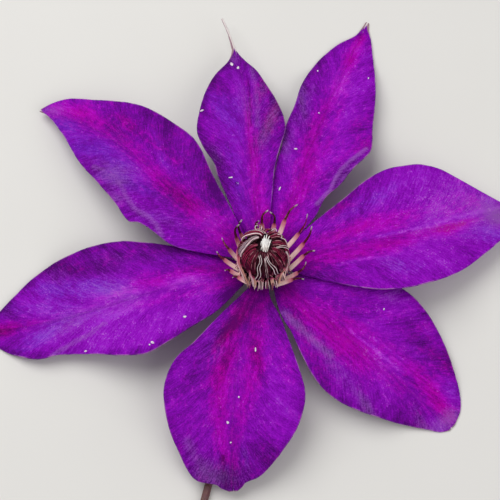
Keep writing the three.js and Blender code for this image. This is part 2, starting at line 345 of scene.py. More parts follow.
# The tepals. The first values are the blade's form, as the solid has it: the way it points, its
# reach, the sideways bow of its rib, its layer, the height of its tip, whether that lands on the
# surface, how its edges lift and wave on the left and right, and its half widths there at each
# distance from the axis.
# A stripe of the magenta bar is a route of distance, offset from the rib, half width and strength.
# A fold is a route with its width, its lift, its pale, which is a painted grey sheen, and its light,
# which is painted light along the crease, and painted shade where it is below 0. A patch is a distance,
# an offset, a length and a width, then how much lighter, bluer, greyer and more magenta the blade is
# there: the lightness is partly the blade's own tone and partly painted light and shade, and the grey
# is a painted sheen. The last values are the seed of its grain, the distance where its pale tip starts
# and how much darker it is at the margins.
tepals = {
    "tepalBackLeft": {
        "node": "tepal_back_left",
        "azimuth": 140.8, "reach": 85.2, "bow": (1.2, -9), "layer": 0.9, "tipHeight": 2.4,
        "landing": False, "edgeLift": (-1.2, 0.6), "wave": 1, "waveLength": 23, "wavePhase": (40, 200),
        "halfWidths": [
            (5, 1.9, 1.9), (10, 4.8, 3.8), (20, 11.3, 7.6), (25, 12.9, 9.2), (31, 13.1, 11.4),
            (34.8, 13.8, 12.9), (37, 15.2, 13.7), (43, 14.3, 15.2), (50, 13.4, 15.3), (57, 12, 14.3),
            (66, 9.7, 11.1), (75, 5.2, 7.8), (79.5, 2.5, 5.8), (83, 0.9, 3), (85.2, 0.4, 0.4),
        ],
        "stripes": [
            [(6, 0, 2.5, 0.7), (20, 0.2, 4, 0.9), (31, 0.2, 3.4, 0.85), (39, 0.6, 3, 0.8),
             (48, -0.4, 2.8, 0.55), (57, -1.6, 2.8, 0.6), (66, -2.6, 3.4, 0.8), (74, -2.8, 3.4, 1),
             (81, -1.8, 2.4, 0.8)],
            [(40, -6.5, 1.5, 0.35), (52, -6.2, 1.6, 0.4), (61, -6.6, 2, 0.5), (66, -6.4, 1.5, 0.3)],
        ],
        "folds": [
            {"route": [(58, 9.6), (49, 8.6), (43, 10.8), (38, 11.7), (32.9, 10.8), (29.5, 11.2),
                       (26.5, 12.6)],
             "width": 1.1, "lift": 0.6, "pale": 0.6, "light": 0},
        ],
        "patches": [
            (77, 3, 8, 3, 0, 0.9, 0.1, 0), (64, 5.5, 10, 4, 0, 0.85, 0.1, 0),
            (52, 5.5, 8, 3.5, -0.1, 0.7, 0.2, 0), (51, 9.4, 6, 2.6, -0.15, 0.2, 0.5, 0),
            (31, 9, 8, 2.6, -0.12, 0.3, 0.35, 0), (61, -7.6, 9, 3, -0.2, 0, 0, 0.1),
            (50, -11, 12, 4.5, -0.34, 0, 0, 0.1), (38, -13, 11, 4, -0.14, 0, 0, 0.15),
            (27, -8, 8, 3, -0.4, 0, 0, 0.1), (44, -5, 9, 1.8, 0.1, 0.5, 0.05, 0),
            (30, 0.5, 10, 3, -0.22, 0, 0, 0), (40, 5.6, 12, 2.5, -0.1, 0.6, 0.15, 0),
            (80, -3, 5, 2.4, 0.15, 0.1, 0.25, 0), (20, 0, 5, 3, 0.3, 0.35, 0.1, -0.2),
            (60, -2.7, 5, 2, -0.2, 0.3, 0.15, -0.2), (59, 8, 5, 2, -0.1, -0.2, 0.15, 0),
            (45, 12.7, 5, 2.5, -0.15, 0, 0.5, 0), (49, 4.6, 8, 2.8, 0.2, 0, 0.2, 0),
            (17, 6.6, 5, 2.5, -0.2, -0.2, 0.2, 0), (82.4, -0.5, 4, 2, 0.2, -0.2, 0.5, 0.1),
        ],
        "seed": 3, "paleFrom": 83.8, "edgeShade": 0.08,
    },
    "tepalBack": {
        "node": "tepal_back",
        "azimuth": 98.4, "reach": 84.5, "bow": (0.9, -6.5), "layer": -0.3, "tipHeight": 4.5,
        "landing": False, "edgeLift": (-0.8, -1.6), "wave": 0.7, "waveLength": 26, "wavePhase": (120, 20),
        "halfWidths": [
            (5, 1.9, 1.9), (10, 4, 3.2), (20, 7.1, 5), (28.7, 9.8, 6.4), (33, 10.6, 7.4), (39, 13.5, 9.3),
            (44, 14.9, 10.8), (50, 13.9, 9.9), (58.5, 11.1, 6.6), (64.5, 7.4, 4.4), (68.5, 2.7, 2),
            (72, 0.9, 0.35), (84.5, 0.25, 0.25),
        ],
        "stripes": [
            [(6, -1, 3, 0.7), (14, -1.6, 2.8, 0.9), (22, -1.2, 2.4, 0.85), (30, -0.8, 1.9, 0.85),
             (38, -0.4, 1.5, 0.8), (45, 0, 1.4, 0.7), (52, -0.6, 1.1, 0.4), (60, -1.4, 0.8, 0.3)],
        ],
        "folds": [
            {"route": [(65.5, -1.9), (54.7, -1.4), (44, -0.8)],
             "width": 0.5, "lift": -0.3, "pale": 0, "light": -0.3},
            {"route": [(64, -3.2), (57, -3.4), (50, -3.2), (44, -2.6)],
             "width": 1.2, "lift": 0.2, "pale": 0.5, "light": 0.05},
        ],
        "patches": [
            (51, 5.4, 14, 5, 0, 0.75, 0, 0), (36, 10, 6, 2.5, -0.3, 0, 0.3, 0),
            (66, 2.2, 5, 2.5, -0.25, 0.2, 0, 0), (50, -8.4, 12, 2, -0.25, 0, 0.2, 0.5),
            (43, -5.4, 10, 3, -0.15, 0, 0.4, 0.35), (56, -5, 8, 2.4, -0.18, 0, 0.4, 0.5),
            (24, 4.6, 9, 2.4, -0.1, 0.5, 0, 0), (50, 11, 9, 2.2, -0.12, 0, 0, 0.1),
            (33, 4.6, 8, 2, -0.05, 0.4, 0, 0), (30, -0.2, 12, 2, 0.1, 0.3, 0, 0),
            (28.6, 8.8, 5, 2.5, -0.15, 0, 0, 0.1), (68.4, 1.1, 3, 2, -0.05, -0.2, 0.45, 0),
            (61, 8.2, 10, 3.2, -0.28, -0.4, 0, 0.1), (53, 0.8, 11, 2.4, 0.14, 0, 0.35, 0),
            (20, -3.9, 5, 2, 0.2, 0, 0.1, 0),
        ],
        "seed": 17, "paleFrom": 69, "edgeShade": 0.24,
    },
    "tepalBackRight": {
        "node": "tepal_back_right",
        "azimuth": 69.4, "reach": 90.4, "bow": (0, 2.5), "layer": -1.6, "tipHeight": 0.1,
        "landing": True, "edgeLift": (-0.8, 0.8), "wave": 0.9, "waveLength": 24, "wavePhase": (300, 150),
        "halfWidths": [
            (5, 1.9, 1.9), (10, 3.4, 4.7), (16, 4.6, 7.2), (20, 5.2, 8.5), (25, 6.2, 9.1),
            (31, 7.4, 11.6), (38, 8, 13.8), (44, 9.2, 16.5), (47, 9.4, 16.7), (54, 9.3, 14.8),
            (62, 9.9, 13), (71, 8.9, 10.1), (79, 5.5, 6.5), (84.9, 1.5, 3.5), (88, 0.8, 1.5),
            (90.4, 0.5, 0.5),
        ],
        "stripes": [
            [(6, -0.5, 2.5, 0.7), (20, -1, 3, 0.9), (28, -1.4, 3.2, 0.95), (36, -0.6, 3.2, 0.9),
             (46, 0.6, 2.8, 0.8), (55, 0.4, 2.4, 0.75), (64, -0.6, 2, 0.8), (70, -1, 2, 0.8),
             (77, -0.5, 2, 1.2), (84, -0.4, 1.4, 1.05)],
            [(40, -4.5, 1.4, 0.5), (52, -4, 1.4, 0.55), (62, -3.4, 1.2, 0.4)],
        ],
        "folds": [
            {"route": [(45.4, -15.4), (40.4, -12.7), (36.6, -10.8), (32.6, -10), (28.3, -9.9),
                       (23, -7.6)],
             "width": 0.8, "lift": 0.9, "pale": 0.75, "light": 0.1},
            {"route": [(62, 6.4), (50, 7), (38, 5.6)],
             "width": 2, "lift": 0.15, "pale": 0.3, "light": -0.05},
        ],
        "patches": [
            (57, 8, 13, 2.5, -0.22, 0.35, 0.45, 0), (40, 7.4, 9, 2, 0, 0.15, 0.5, 0),
            (66.5, -0.9, 8, 2, 0.27, 0.3, 0.1, 0), (80, -1, 3, 1.5, 0.25, 0, 0, 0),
            (28, 0.7, 8, 2, 0.05, 0.4, 0, 0), (70, 7.2, 10, 2.6, -0.22, 0, 0.1, 0),
            (66, -6.5, 9, 4, 0.12, 0.1, 0, 0), (54, -10, 6, 3, -0.25, 0, 0, 0.2),
            (47, -14, 5, 3, -0.05, 0, 0, 0.55), (34, -8, 8, 1.8, -0.1, 0, 0.2, 0.3),
            (35, -12.4, 9, 1.6, 0, 0, 0.5, 0), (78, -4.5, 6, 2, 0.05, 0.2, 0, 0),
            (40, -7, 9, 3, 0.12, 0, 0, 0.2), (52.8, -6.6, 6, 3, 0.25, 0.1, 0, 0),
        ],
        "seed": 29, "paleFrom": 86.6, "edgeShade": 0.12,
    },
    "tepalRight": {
        "node": "tepal_right",
        "azimuth": 16.1, "reach": 76.1, "bow": (-1, -3.2), "layer": 0.5, "tipHeight": 3,
        "landing": False, "edgeLift": (0.6, -0.4), "wave": 0.9, "waveLength": 27, "wavePhase": (90, 260),
        "halfWidths": [
            (5, 1.9, 1.9), (10, 5.2, 5.6), (20, 10.8, 11), (27, 14.3, 13.6), (35, 18.8, 15.3),
            (42, 21.1, 15.6), (51, 20.4, 14), (59, 17, 11.1), (66, 10.8, 8.1), (72, 4.5, 4.6),
            (76.1, 0.4, 0.4),
        ],
        "stripes": [
            [(6, 1, 2, 0.7), (17, 2.6, 2.4, 0.8), (26, 4, 3, 0.95), (36, 4.8, 3.2, 0.95),
             (45, 5.2, 2.8, 0.6), (57, 5.4, 3, 0.4), (65, 5.6, 2.8, 0.55)],
            [(6, -1, 2, 0.7), (16, -1.8, 2.8, 0.9), (27, -2.2, 2.8, 1), (36, -2, 2.4, 1.05),
             (46, -1, 1.8, 0.9), (54, -0.6, 1.6, 1.35), (59, -0.2, 1.2, 1.1), (63, 0.4, 1, 0.6)],
        ],
        "folds": [
            {"route": [(33, 0.6), (42, 0.7), (49, 1.2), (56, 2), (66, 2.2), (73, 2.2)],
             "width": 0.55, "lift": 0.16, "pale": 0.2, "light": 0.45},
            {"route": [(20, -5.2), (25, -5), (30, -5.2), (34, -6)],
             "width": 0.6, "lift": 0.2, "pale": 0.25, "light": 0.2},
        ],
        "patches": [
            (27, 15, 9, 4, -0.32, 0, 0, 0.1), (51, 16, 13, 5, 0.06, 0.1, 0.05, 0),
            (38, 13, 9, 4, 0.08, 0.15, 0, 0), (66, -5, 8, 3.5, 0.15, 0.6, 0.1, 0),
            (70, 3.4, 5, 3.5, 0.1, 0.1, 0.35, 0), (66, 1.5, 6, 3.5, 0.2, 0.1, 0.1, 0),
            (48, -9, 13, 3.5, 0.2, 0, 0, 0), (35, -8, 6, 2.4, -0.05, 0.2, 0.3, 0),
            (16, -7.6, 8, 3, -0.35, 0, 0.1, 0), (30, 10, 12, 2.6, 0, 0.4, 0, 0),
            (57, 10, 8, 4, 0.08, 0.1, 0, 0.3), (32, 3.3, 8, 2, 0.15, 0, 0, 0),
            (56, -0.3, 7, 2, 0.25, 0, 0, 0.2), (40, -9.3, 9, 3, 0.1, 0.3, 0, 0),
            (24, 11, 4, 1.6, 0, 0, 0, 0.5), (66, 6, 8, 4, 0.08, 0.1, 0.25, 0),
            (57, 9, 16, 8, 0.18, 0.1, 0.34, 0), (71.4, -1.2, 5.4, 3.2, 0.22, 0, 0.9, 0),
            (51, 4.8, 6, 2.5, 0.12, 0.2, 0.1, -0.15), (47.8, -1.9, 5, 2.5, 0.2, 0.1, 0, 0),
        ],
        "seed": 41, "paleFrom": 75.2, "edgeShade": 0.04,
    },
    "tepalFrontRight": {
        "node": "tepal_front_right",
        "azimuth": -39.7, "reach": 67.5, "bow": (-3, 1.5), "layer": -1, "tipHeight": 0.1,
        "landing": True, "edgeLift": (0.3, 1), "wave": 0.8, "waveLength": 22, "wavePhase": (180, 30),
        "halfWidths": [
            (5, 1.9, 1.9), (9, 6.6, 4.7), (14, 10.2, 7.5), (18, 13, 8.9), (24, 17, 12.1),
            (30.5, 20.8, 14.9), (37, 21.8, 15.5), (45, 20.6, 13.9), (52, 17.3, 11), (58.5, 12.6, 7.5),
            (63, 9, 4.8), (66, 5.5, 2.9), (67.5, 1.4, 0.9),
        ],
        "stripes": [
            [(6, -0.6, 2, 0.7), (16, -1.8, 3.6, 0.9), (24, -1.6, 4.6, 1.05), (31, -1.4, 4.8, 1.1),
             (37, -2, 4, 0.85), (43, -2.4, 3, 0.55), (50, -0.6, 2, 0.45)],
            [(18, 2.6, 2, 0.5), (28, 3.2, 2.2, 0.7), (36, 4.8, 2, 0.5), (46, 5.6, 2.4, 0.5),
             (54, 4.6, 3, 0.9), (60, 3, 2.6, 1.2), (64, 1.6, 2, 0.9)],
        ],
        "folds": [
            {"route": [(13.5, -6.2), (20, -6.6), (30, -7.2)],
             "width": 1.7, "lift": -0.3, "pale": 0.65, "light": 0},
            {"route": [(30, 1.6), (37, 2.3), (42, 2.5), (48, 2.8)],
             "width": 0.5, "lift": 0.15, "pale": 0.1, "light": 0.35},
            {"route": [(33, 4.2), (40, 5), (47, 5.6)],
             "width": 0.4, "lift": 0.1, "pale": 0.1, "light": 0.3},
            {"route": [(47, 2.6), (53, 2.6)],
             "width": 0.4, "lift": -0.3, "pale": 0, "light": -0.3},
            {"route": [(31, 15), (34, 21)],
             "width": 1.2, "lift": 0.3, "pale": 0.4, "light": 0.05},
        ],
        "patches": [
            (31, -8.4, 7, 2.5, -0.05, 0.2, 0.4, 0), (40, -10, 8, 2, 0.05, 0.1, 0.1, 0),
            (46, 16, 9, 5, -0.22, 0, 0.05, 0.15), (33, 17, 4, 2.5, 0.05, 0.1, 0.35, 0),
            (54, 14, 9, 4, -0.3, 0, 0, 0.15), (26, 10, 9, 4, -0.16, 0, 0, 0.15),
            (65, -1, 3, 6, 0.2, 0.35, 0.6, 0), (60, -4.8, 6, 2.2, -0.2, -0.1, 0.4, 0.2),
            (43, 1, 5, 1.5, 0.15, 0, -0.2, 0.2), (36, 15, 8, 4, 0.14, 0, 0, 0.05),
            (45, -3.3, 5, 2.5, 0.22, 0.1, 0, 0), (37, 7.7, 7, 2.6, 0.1, 0, 0, 0),
            (56, 11.5, 5, 3, 0, 0, 0, 0.35), (48, 9, 7, 2.5, 0.12, 0.35, 0, 0),
            (30, -12, 9, 2, -0.15, 0, 0, 0.35), (41, 2.5, 9, 2, 0.15, 0.1, 0, 0.4),
            (62, 9, 6, 2.4, 0.1, 0.5, 0.25, 0), (57, -8, 8, 2.4, -0.25, 0, 0, 0.1),
            (46.5, -12, 8, 2.4, -0.2, 0, 0.5, 0), (49, 17.4, 5, 3, 0.25, 0, 0, 0),
            (65.5, 3.3, 3, 3, -0.1, -0.3, 0.3, 0.3), (17, -5.6, 6, 2, -0.2, -0.1, -0.3, 0),
        ],
        "seed": 53, "paleFrom": 67.1, "edgeShade": 0.12,
    },
    "tepalFront": {
        "node": "tepal_front",
        "azimuth": -97.7, "reach": 62.4, "bow": (-5, -4), "layer": 0, "tipHeight": 3.6,
        "landing": False, "edgeLift": (0.5, 1.2), "wave": 1.1, "waveLength": 17, "wavePhase": (60, 250),
        "halfWidths": [
            (5, 2, 1.9), (8.5, 4.1, 3.3), (13, 8.3, 5.5), (20, 12.7, 9.4), (26, 16, 13.2),
            (30, 17.7, 16.9), (34.5, 19.1, 18.9), (39, 19.4, 19.2), (46.5, 17.5, 17.3),
            (52.5, 14.1, 14.3), (57, 10, 11.9), (59.4, 6.9, 9.2), (60.4, 3.6, 4.8), (61.4, 2.6, 3.4),
            (62.4, 1.1, 1.2),
        ],
        "stripes": [
            [(6, -0.8, 2, 0.7), (18, -2.8, 2.8, 0.85), (27, -3.8, 3, 1), (36, -4, 3, 0.95),
             (46, -3.2, 2.6, 0.75), (54, -2, 2, 0.6)],
            [(6, 0.8, 2, 0.7), (16, 2.6, 2.6, 0.75), (24, 4, 3, 0.8), (32, 4.6, 3, 0.75),
             (40, 3.4, 2.8, 0.6), (48, 1, 2.2, 0.55), (56, 0.4, 1.8, 0.4)],
        ],
        "folds": [
            {"route": [(50, -12), (57, -8)],
             "width": 2, "lift": 0.35, "pale": 0.45, "light": -0.1},
            {"route": [(54, -2.6), (61, -2.2)],
             "width": 0.9, "lift": -0.35, "pale": 0, "light": -0.35},
            {"route": [(53, 3.4), (58, 4.4)],
             "width": 1.1, "lift": 0.3, "pale": 0.3, "light": -0.1},
        ],
        "patches": [
            (13, -1, 6, 5, -0.36, 0, 0.1, 0), (25, -8, 9, 3.2, -0.12, 0.3, 0.2, 0),
            (28, 13, 9, 3, 0, 0, 0, 0.3), (57, -7.5, 4, 5, -0.15, 0, 0.42, 0),
            (54, 9.5, 5, 4, -0.35, 0, 0.1, 0.1), (53, 3, 4, 2.5, -0.1, 0.5, 0.1, 0),
            (36, 12, 10, 4, 0.15, 0.1, 0, 0), (36, 0, 12, 2.4, 0.1, 0.1, 0.05, 0.25),
            (36, -12, 12, 4, -0.12, 0, 0, 0.1), (16, 8, 6, 2.4, -0.2, 0.1, 0.1, 0),
            (58, -1, 4, 7, -0.14, 0, 0.2, 0.1), (48, -11, 8, 3, -0.05, 0, 0.1, 0.1),
            (20, -4.2, 6, 1.6, -0.55, 0, 0, 0.2), (28, 5.4, 8, 1.6, -0.3, 0, 0, 0.1),
            (27, -5, 4, 1.6, 0.1, 0.4, 0.2, -0.2), (28.5, -3.4, 6, 2, -0.28, -0.1, -0.05, 0),
            (60, -1, 3, 9, -0.25, -0.2, 0.12, 0.1),
        ],
        "seed": 67, "paleFrom": 62.2, "edgeShade": 0.12,
    },
    "tepalLeft": {
        "node": "tepal_left",
        "azimuth": -169.6, "reach": 80.8, "bow": (1, 4), "layer": -0.9, "tipHeight": 0.1,
        "landing": True, "edgeLift": (0.9, -0.4), "wave": 0.9, "waveLength": 25, "wavePhase": (200, 90),
        "halfWidths": [
            (5, 2.6, 1.9), (8.5, 5.1, 4.4), (12, 7.7, 6.2), (16.5, 10.4, 8.8), (24, 12.9, 12.1),
            (31, 15.1, 15.6), (37.5, 16.7, 18.7), (44, 15.3, 19.3), (51, 12.4, 18.8), (59, 10.4, 17.6),
            (66, 10.5, 14.3), (72, 8.2, 9.3), (77, 4.8, 4.6), (80.8, 0.7, 0.7),
        ],
        "stripes": [
            [(6, -0.6, 2.4, 0.7), (18, -2.4, 2.6, 0.85), (28, -2.6, 2.6, 0.85), (35, -3.2, 2.6, 0.75),
             (44, -1.8, 2.2, 0.4), (58, -1, 1.6, 0.3), (68, -0.8, 1.4, 0.5), (75, 0.2, 2, 1.2),
             (79, 0.4, 1.2, 1.2)],
            [(10, 1.6, 2.2, 0.6), (24, 3, 2.4, 0.5), (33, 2.4, 2, 0.5), (43, 1.4, 1.6, 0.3)],
        ],
        "folds": [
            {"route": [(62, 10.4), (59.4, 9), (55, 7.5), (51, 6.6), (46.4, 4.6)],
             "width": 1, "lift": 0.4, "pale": 0.6, "light": 0.05},
            {"route": [(30, 0.4), (46, 0.2), (62, 0.6)],
             "width": 0.35, "lift": -0.2, "pale": 0, "light": -0.1},
        ],
        "patches": [
            (56, -16, 16, 2.8, -0.3, -0.2, 0.05, 0.1), (38, -14, 12, 3, -0.2, 0, 0.05, 0.1),
            (60, -9.4, 9, 3, 0.05, 0.7, 0.2, 0), (46, -7, 11, 3, 0.15, 0.7, 0.15, 0),
            (30, 11, 10, 4.5, 0.25, 0.05, 0.1, 0), (65, 4, 10, 3, 0.15, 0.6, 0.15, 0),
            (50, 13, 10, 4, 0.2, 0.1, 0.15, 0), (11, 4.6, 6, 3, -0.35, 0, 0, 0),
            (61, 13, 7, 3, 0.15, 0.4, 0.2, 0), (26, -8.6, 9, 2.4, 0, 0.35, 0.1, 0),
            (44, 1, 16, 3.5, 0.25, 0.15, 0.12, 0), (46, 7, 14, 4, 0.2, 0.1, 0.12, 0),
            (60, -3, 12, 3, 0.15, 0.4, 0.1, 0), (22, -0.6, 6, 1.8, 0.4, 0, 0.15, 0),
            (76, 0.4, 4, 1.6, -0.35, 0, 0.2, 0), (52, -13, 9, 3, -0.15, 0, 0, 0),
            (42, -13.4, 6, 3, -0.15, 0.1, 0.2, 0), (17.6, 3.3, 5, 2, 0.1, 0.35, 0.15, 0),
            (33, -1, 5, 2, -0.12, 0, -0.1, 0), (58, -13.2, 6, 3, -0.12, -0.1, 0.2, 0),
            (42, -4, 9, 4, 0.2, 0.2, 0.3, 0), (56, 2.8, 7, 3, 0.1, 0.1, 0.35, 0),
            (74, -6, 6, 3, -0.2, 0.3, 0.2, 0), (71, 7, 6, 3, -0.2, 0, 0, 0),
            (32, 14, 4, 2.5, -0.2, -0.1, 0, 0), (26, -11.6, 10, 3, -0.25, -0.2, 0, 0.1),
            (17, -3.4, 5, 2, -0.25, 0, 0, -0.3),
        ],
        "seed": 83, "paleFrom": 79.8, "edgeShade": 0.22,
    },
}

# How the blades are meshed, and the finest part of their form. A pair with From in its name is where
# something starts and where it has come in full, and a Grain is how wide and how long its ridges are.
# A fold's painted light and shade show in places only, by foldBroken on average and by how much more or less.
tepalMesh = {
    "cellsAlong": 190,
    "cellsAcross": 84,
    "rootDistance": 4.2,
    "thickness": 0.36,
    "ridgeHeight": 0.28,
    "ridgeWidth": 1.3,
    "fanRelief": 0.09,
    "fanGrain": (0.9, 9),
    "fanFrom": (1.5, 6),
    "fanReach": 12,
    "fanSlope": 1.11,
    "fanPower": 0.3,
    "ribRelief": 0.12,
    "ribGrain": (0.75, 14),
    "ribSeed": 50,
    "reliefFrom": (8, 16),
    "reliefTip": 5,
    "edgesFrom": (18, 40),
    "edgesTip": 14,
    "liftPower": 1.6,
    "wavePower": 3,
    "ruffle": 0.35,
    "ruffleLength": 4.5,
    "rufflePower": 5,
    "ruffleSides": 9,
    "foldGrain": (0.5, 2.4),
    "foldBroken": (0.7, 1.2),
    "stripeFade": 4,
    "stripeFall": 0.8,
    "patchLean": 24,
    "leanReach": 4,
}


def readRows(rows, distance, column):
    # smooth curve through one column of rows whose first column is the distance
    i = 0
    while i < len(rows) - 2 and distance > rows[i + 1][0]:
        i += 1
    a, b = rows[i], rows[i + 1]
    before, after = rows[max(i - 1, 0)], rows[min(i + 2, len(rows) - 1)]
    span = b[0] - a[0]
    slopeA = (b[column] - before[column]) / (b[0] - before[0]) * span
    slopeB = (after[column] - a[column]) / (after[0] - a[0]) * span
    t = min(max((distance - a[0]) / span, 0), 1)
    return ((2 * t**3 - 3 * t**2 + 1) * a[column] + (t**3 - 2 * t**2 + t) * slopeA
            + (3 * t**2 - 2 * t**3) * b[column] + (t**3 - t**2) * slopeB)


def foldAt(folds, distance, offset):
    # how far the folds lift the blade here, and how much painted grey sheen and painted light and shade they
    # lay on it
    lift, pale, light = 0, 0, 0
    place = Vector((distance, offset))
    width, length = tepalMesh["foldGrain"]
    average, more = tepalMesh["foldBroken"]
    broken = average + more * noise.noise((distance / length, offset / width, 4))
    for fold in folds:
        nearest = math.inf
        for start, end in zip(fold["route"], fold["route"][1:]):
            a, b = Vector(start), Vector(end)
            t = min(max((place - a).dot(b - a) / (b - a).length_squared, 0), 1)
            nearest = min(nearest, (place - a.lerp(b, t)).length)
        shape = math.exp(-((nearest / fold["width"]) ** 2))
        lift += fold["lift"] * shape
        light += fold["light"] * shape * broken
        pale = max(pale, fold["pale"] * shape)
    return lift, pale, light


def stripeAt(stripes, distance, offset):
    # the strongest stripe of the bar here, each fading in and out past its two ends
    fade, fall = tepalMesh["stripeFade"], tepalMesh["stripeFall"]
    strongest = 0
    for rows in stripes:
        first, last = rows[0][0], rows[-1][0]
        if distance > last + fade:
            continue
        middle, width, strength = (readRows(rows, distance, k) for k in (1, 2, 3))
        faded = strength * (1 - smoothStep(distance, last, last + fade))
        faded *= smoothStep(distance, first - fade, first)
        strongest = max(strongest, faded * math.exp(-(((offset - middle) / width) ** 2) * fall))
    return strongest


def patchesAt(patches, distance, offset):
    # each patch leans forward and outward with the veins
    total = [0, 0, 0, 0]
    whole = math.radians(tepalMesh["patchLean"])
    for middle, side, length, width, *changes in patches:
        lean = whole * math.copysign(min(abs(side) / tepalMesh["leanReach"], 1), side)
        x, y = distance - middle, offset - side
        forward = (x * math.cos(lean) + y * math.sin(lean)) / length
        sideways = (y * math.cos(lean) - x * math.sin(lean)) / width
        shape = math.exp(-(forward**2 + sideways**2))
        total = [level + change * shape for level, change in zip(total, changes)]
    return total


def fanPlace(distance, offset):
    # the same all along a vein that leaves the rib and runs forward to the margin
    reach, power = tepalMesh["fanReach"], tepalMesh["fanPower"]
    return distance - reach / (power * tepalMesh["fanSlope"]) * (abs(offset) / reach) ** power


def reliefAt(shape, distance, offset):
    # how high the folds, the veins and the lines along the rib stand here
    away = smoothStep(abs(offset), *tepalMesh["fanFrom"])
    width, length = tepalMesh["fanGrain"]
    fanLine = noise.noise((fanPlace(distance, offset) / width, distance / length, shape["seed"]))
    width, length = tepalMesh["ribGrain"]
    ribLine = noise.noise((offset / width, distance / length, shape["seed"] + tepalMesh["ribSeed"]))
    fanLine *= tepalMesh["fanRelief"] * away
    ribLine *= tepalMesh["ribRelief"] * (1 - away)
    rooted = smoothStep(distance, *tepalMesh["reliefFrom"])
    ended = smoothStep(distance, shape["reach"] - tepalMesh["reliefTip"], shape["reach"])
    return (foldAt(shape["folds"], distance, offset)[0] + fanLine + ribLine) * rooted * (1 - ended)


def tepalPoint(shape, distance, share):
    # a point of the blade's middle surface in millimetres, with its offset from the rib
    base, reach = flower["baseRadius"], shape["reach"]
    length = reach - base
    t = (distance - base) / length
    near, far = shape["bow"]
    sideways = 3 * (1 - t)**2 * t * near + 3 * (1 - t) * t**2 * far
    slope = (3 * (1 - t) * (1 - 3 * t) * near + 3 * t * (2 - 3 * t) * far) / length
    acrossWay = Vector((-slope, 1)).normalized()
    side = 0 if share > 0 else 1
    spread = abs(share)
    offset = share * readRows(shape["halfWidths"], distance, side + 1)
    flat = Vector((distance, sideways)) + acrossWay * offset

    start = flower["archStart"]
    along = min(max((flat.length - start) / (reach - start), 0), 1)
    fall = along**2 * (3 - 2 * along) if shape["landing"] else along**2
    dish = flower["dishRise"] * math.sin(math.pi / 2 * min(flat.length / flower["dishReach"], 1))
    nearTip = smoothStep(distance, reach - tepalMesh["edgesTip"], reach)
    loose = smoothStep(distance, *tepalMesh["edgesFrom"]) * (1 - nearTip)
    turn = 2 * math.pi * distance / shape["waveLength"] + math.radians(shape["wavePhase"][side])
    lifted = shape["edgeLift"][side] * spread ** tepalMesh["liftPower"]
    waved = shape["wave"] * spread ** tepalMesh["wavePower"] * math.sin(turn)
    ruffleAlong, ruffleSide = distance / tepalMesh["ruffleLength"], side * tepalMesh["ruffleSides"]
    ruffle = noise.noise((ruffleAlong, ruffleSide, shape["seed"]))
    ruffle *= tepalMesh["ruffle"] * spread ** tepalMesh["rufflePower"]
    rib = tepalMesh["ridgeHeight"] * math.exp(-((offset / tepalMesh["ridgeWidth"]) ** 2)) * (1 - nearTip)

    drop = (flower["baseHeight"] + flower["dishRise"] + shape["layer"] - shape["tipHeight"]) * fall
    height = flower["baseHeight"] + shape["layer"] + dish - drop + (lifted + waved + ruffle) * loose + rib
    height += reliefAt(shape, distance, offset)
    turned = Matrix.Rotation(math.radians(shape["azimuth"]), 2) @ flat
    return Vector((turned.x, turned.y, max(height, tepalMesh["thickness"] / 2))), offset


def addTepal(name, shape):
    tepal = addGrid(name, tepalMesh["cellsAlong"], tepalMesh["cellsAcross"])
    start, reach = tepalMesh["rootDistance"], shape["reach"]
    keys = ("along", "across", "fan", "edge", "light", "blue", "pale", "magenta")
    columns = {key: [] for key in keys}
    for vertex in tepal.data.vertices:
        distance = mixed(start, reach, (vertex.co.x + 1) / 2)
        share = vertex.co.y
        point, offset = tepalPoint(shape, distance, share)
        vertex.co = flowerPlace @ point * mm
        # the patches and folds lay painted light and shade and a painted grey sheen over the blade's own
        # tone, besides its blue and magenta
        light, blue, pale, magenta = patchesAt(shape["patches"], distance, offset)
        foldSheen, foldLightAndShade = foldAt(shape["folds"], distance, offset)[1:]
        magenta += stripeAt(shape["stripes"], distance, offset)
        margin = abs(offset) * (1 / max(abs(share), 0.01) - 1)  # the way left to the blade's side
        values = (distance, offset, fanPlace(distance, offset), min(margin, reach - distance),
                  light + foldLightAndShade, blue, max(pale, foldSheen), magenta)
        for key, value in zip(keys, values):
            columns[key].append(value)
    for key in keys:
        setAttribute(tepal, key, columns[key])
    applyModifier(tepal, "SOLIDIFY", thickness=tepalMesh["thickness"] * mm, offset=0,
                  use_even_offset=True, material_offset=1)
    bpy.ops.object.shade_smooth()
    return tepal


tepalPaint = {
    "violet": [(0, (80, 8, 108)), (0.28, (113, 10, 150)), (0.5, (138, 12, 181)), (0.74, (156, 24, 201)),
               (1, (174, 58, 216))],
    "blue": [(0, (78, 14, 132)), (0.5, (116, 30, 188)), (1, (152, 84, 222))],
    "magenta": [(0, (104, 3, 104)), (0.28, (138, 3, 138)), (0.5, (168, 4, 172)), (0.74, (182, 12, 202)),
                (1, (192, 60, 222))],
    "red": paint(180, 0, 142),
    # a painted grey-lavender sheen on folds and patches
    "pale": paint(152, 92, 180),
    # painted glints of the cells' sheen
    "sheenGlint": paint(208, 130, 228),
    # painted shade round the foot of the boss
    "baseShade": paint(72, 0, 84),
    # a pale margin, partly the blade's own edge and partly painted rim light
    "rim": paint(200, 142, 196),
    "tip": paint(244, 234, 230),
    "tipEdge": paint(128, 58, 92),
    "roughness": 0.6,
}

# How much each kind of streak and grain adds to the lightness, to the blue, to the lightness of the
# bar, to the bar and to the painted grey sheen
tepalMarks = {
    "tone": {"fan": 0.14, "fine": 0.26, "slow": 0.24, "grain": 0.24, "mottle": 0.12},
    "blue": {"slow": 0.35, "fan": 0.15, "mottle": 0.4},
    "barTone": {"rib": 0.3, "fine": 0.26, "grain": 0.24, "mottle": 0.14},
    "bar": {"rib": 0.3, "fine": 0.15, "slow": 0.35, "mottle": 0.5, "grain": 0.15},
    "pale": {"fan": 0.2, "fine": 0.2, "grain": 0.3},
    "grainSize": 0.42,
    "mottleSize": 1.9,
    "edgeShadeWidth": (0.2, 3.4),
    "tipLength": 1.6,
}

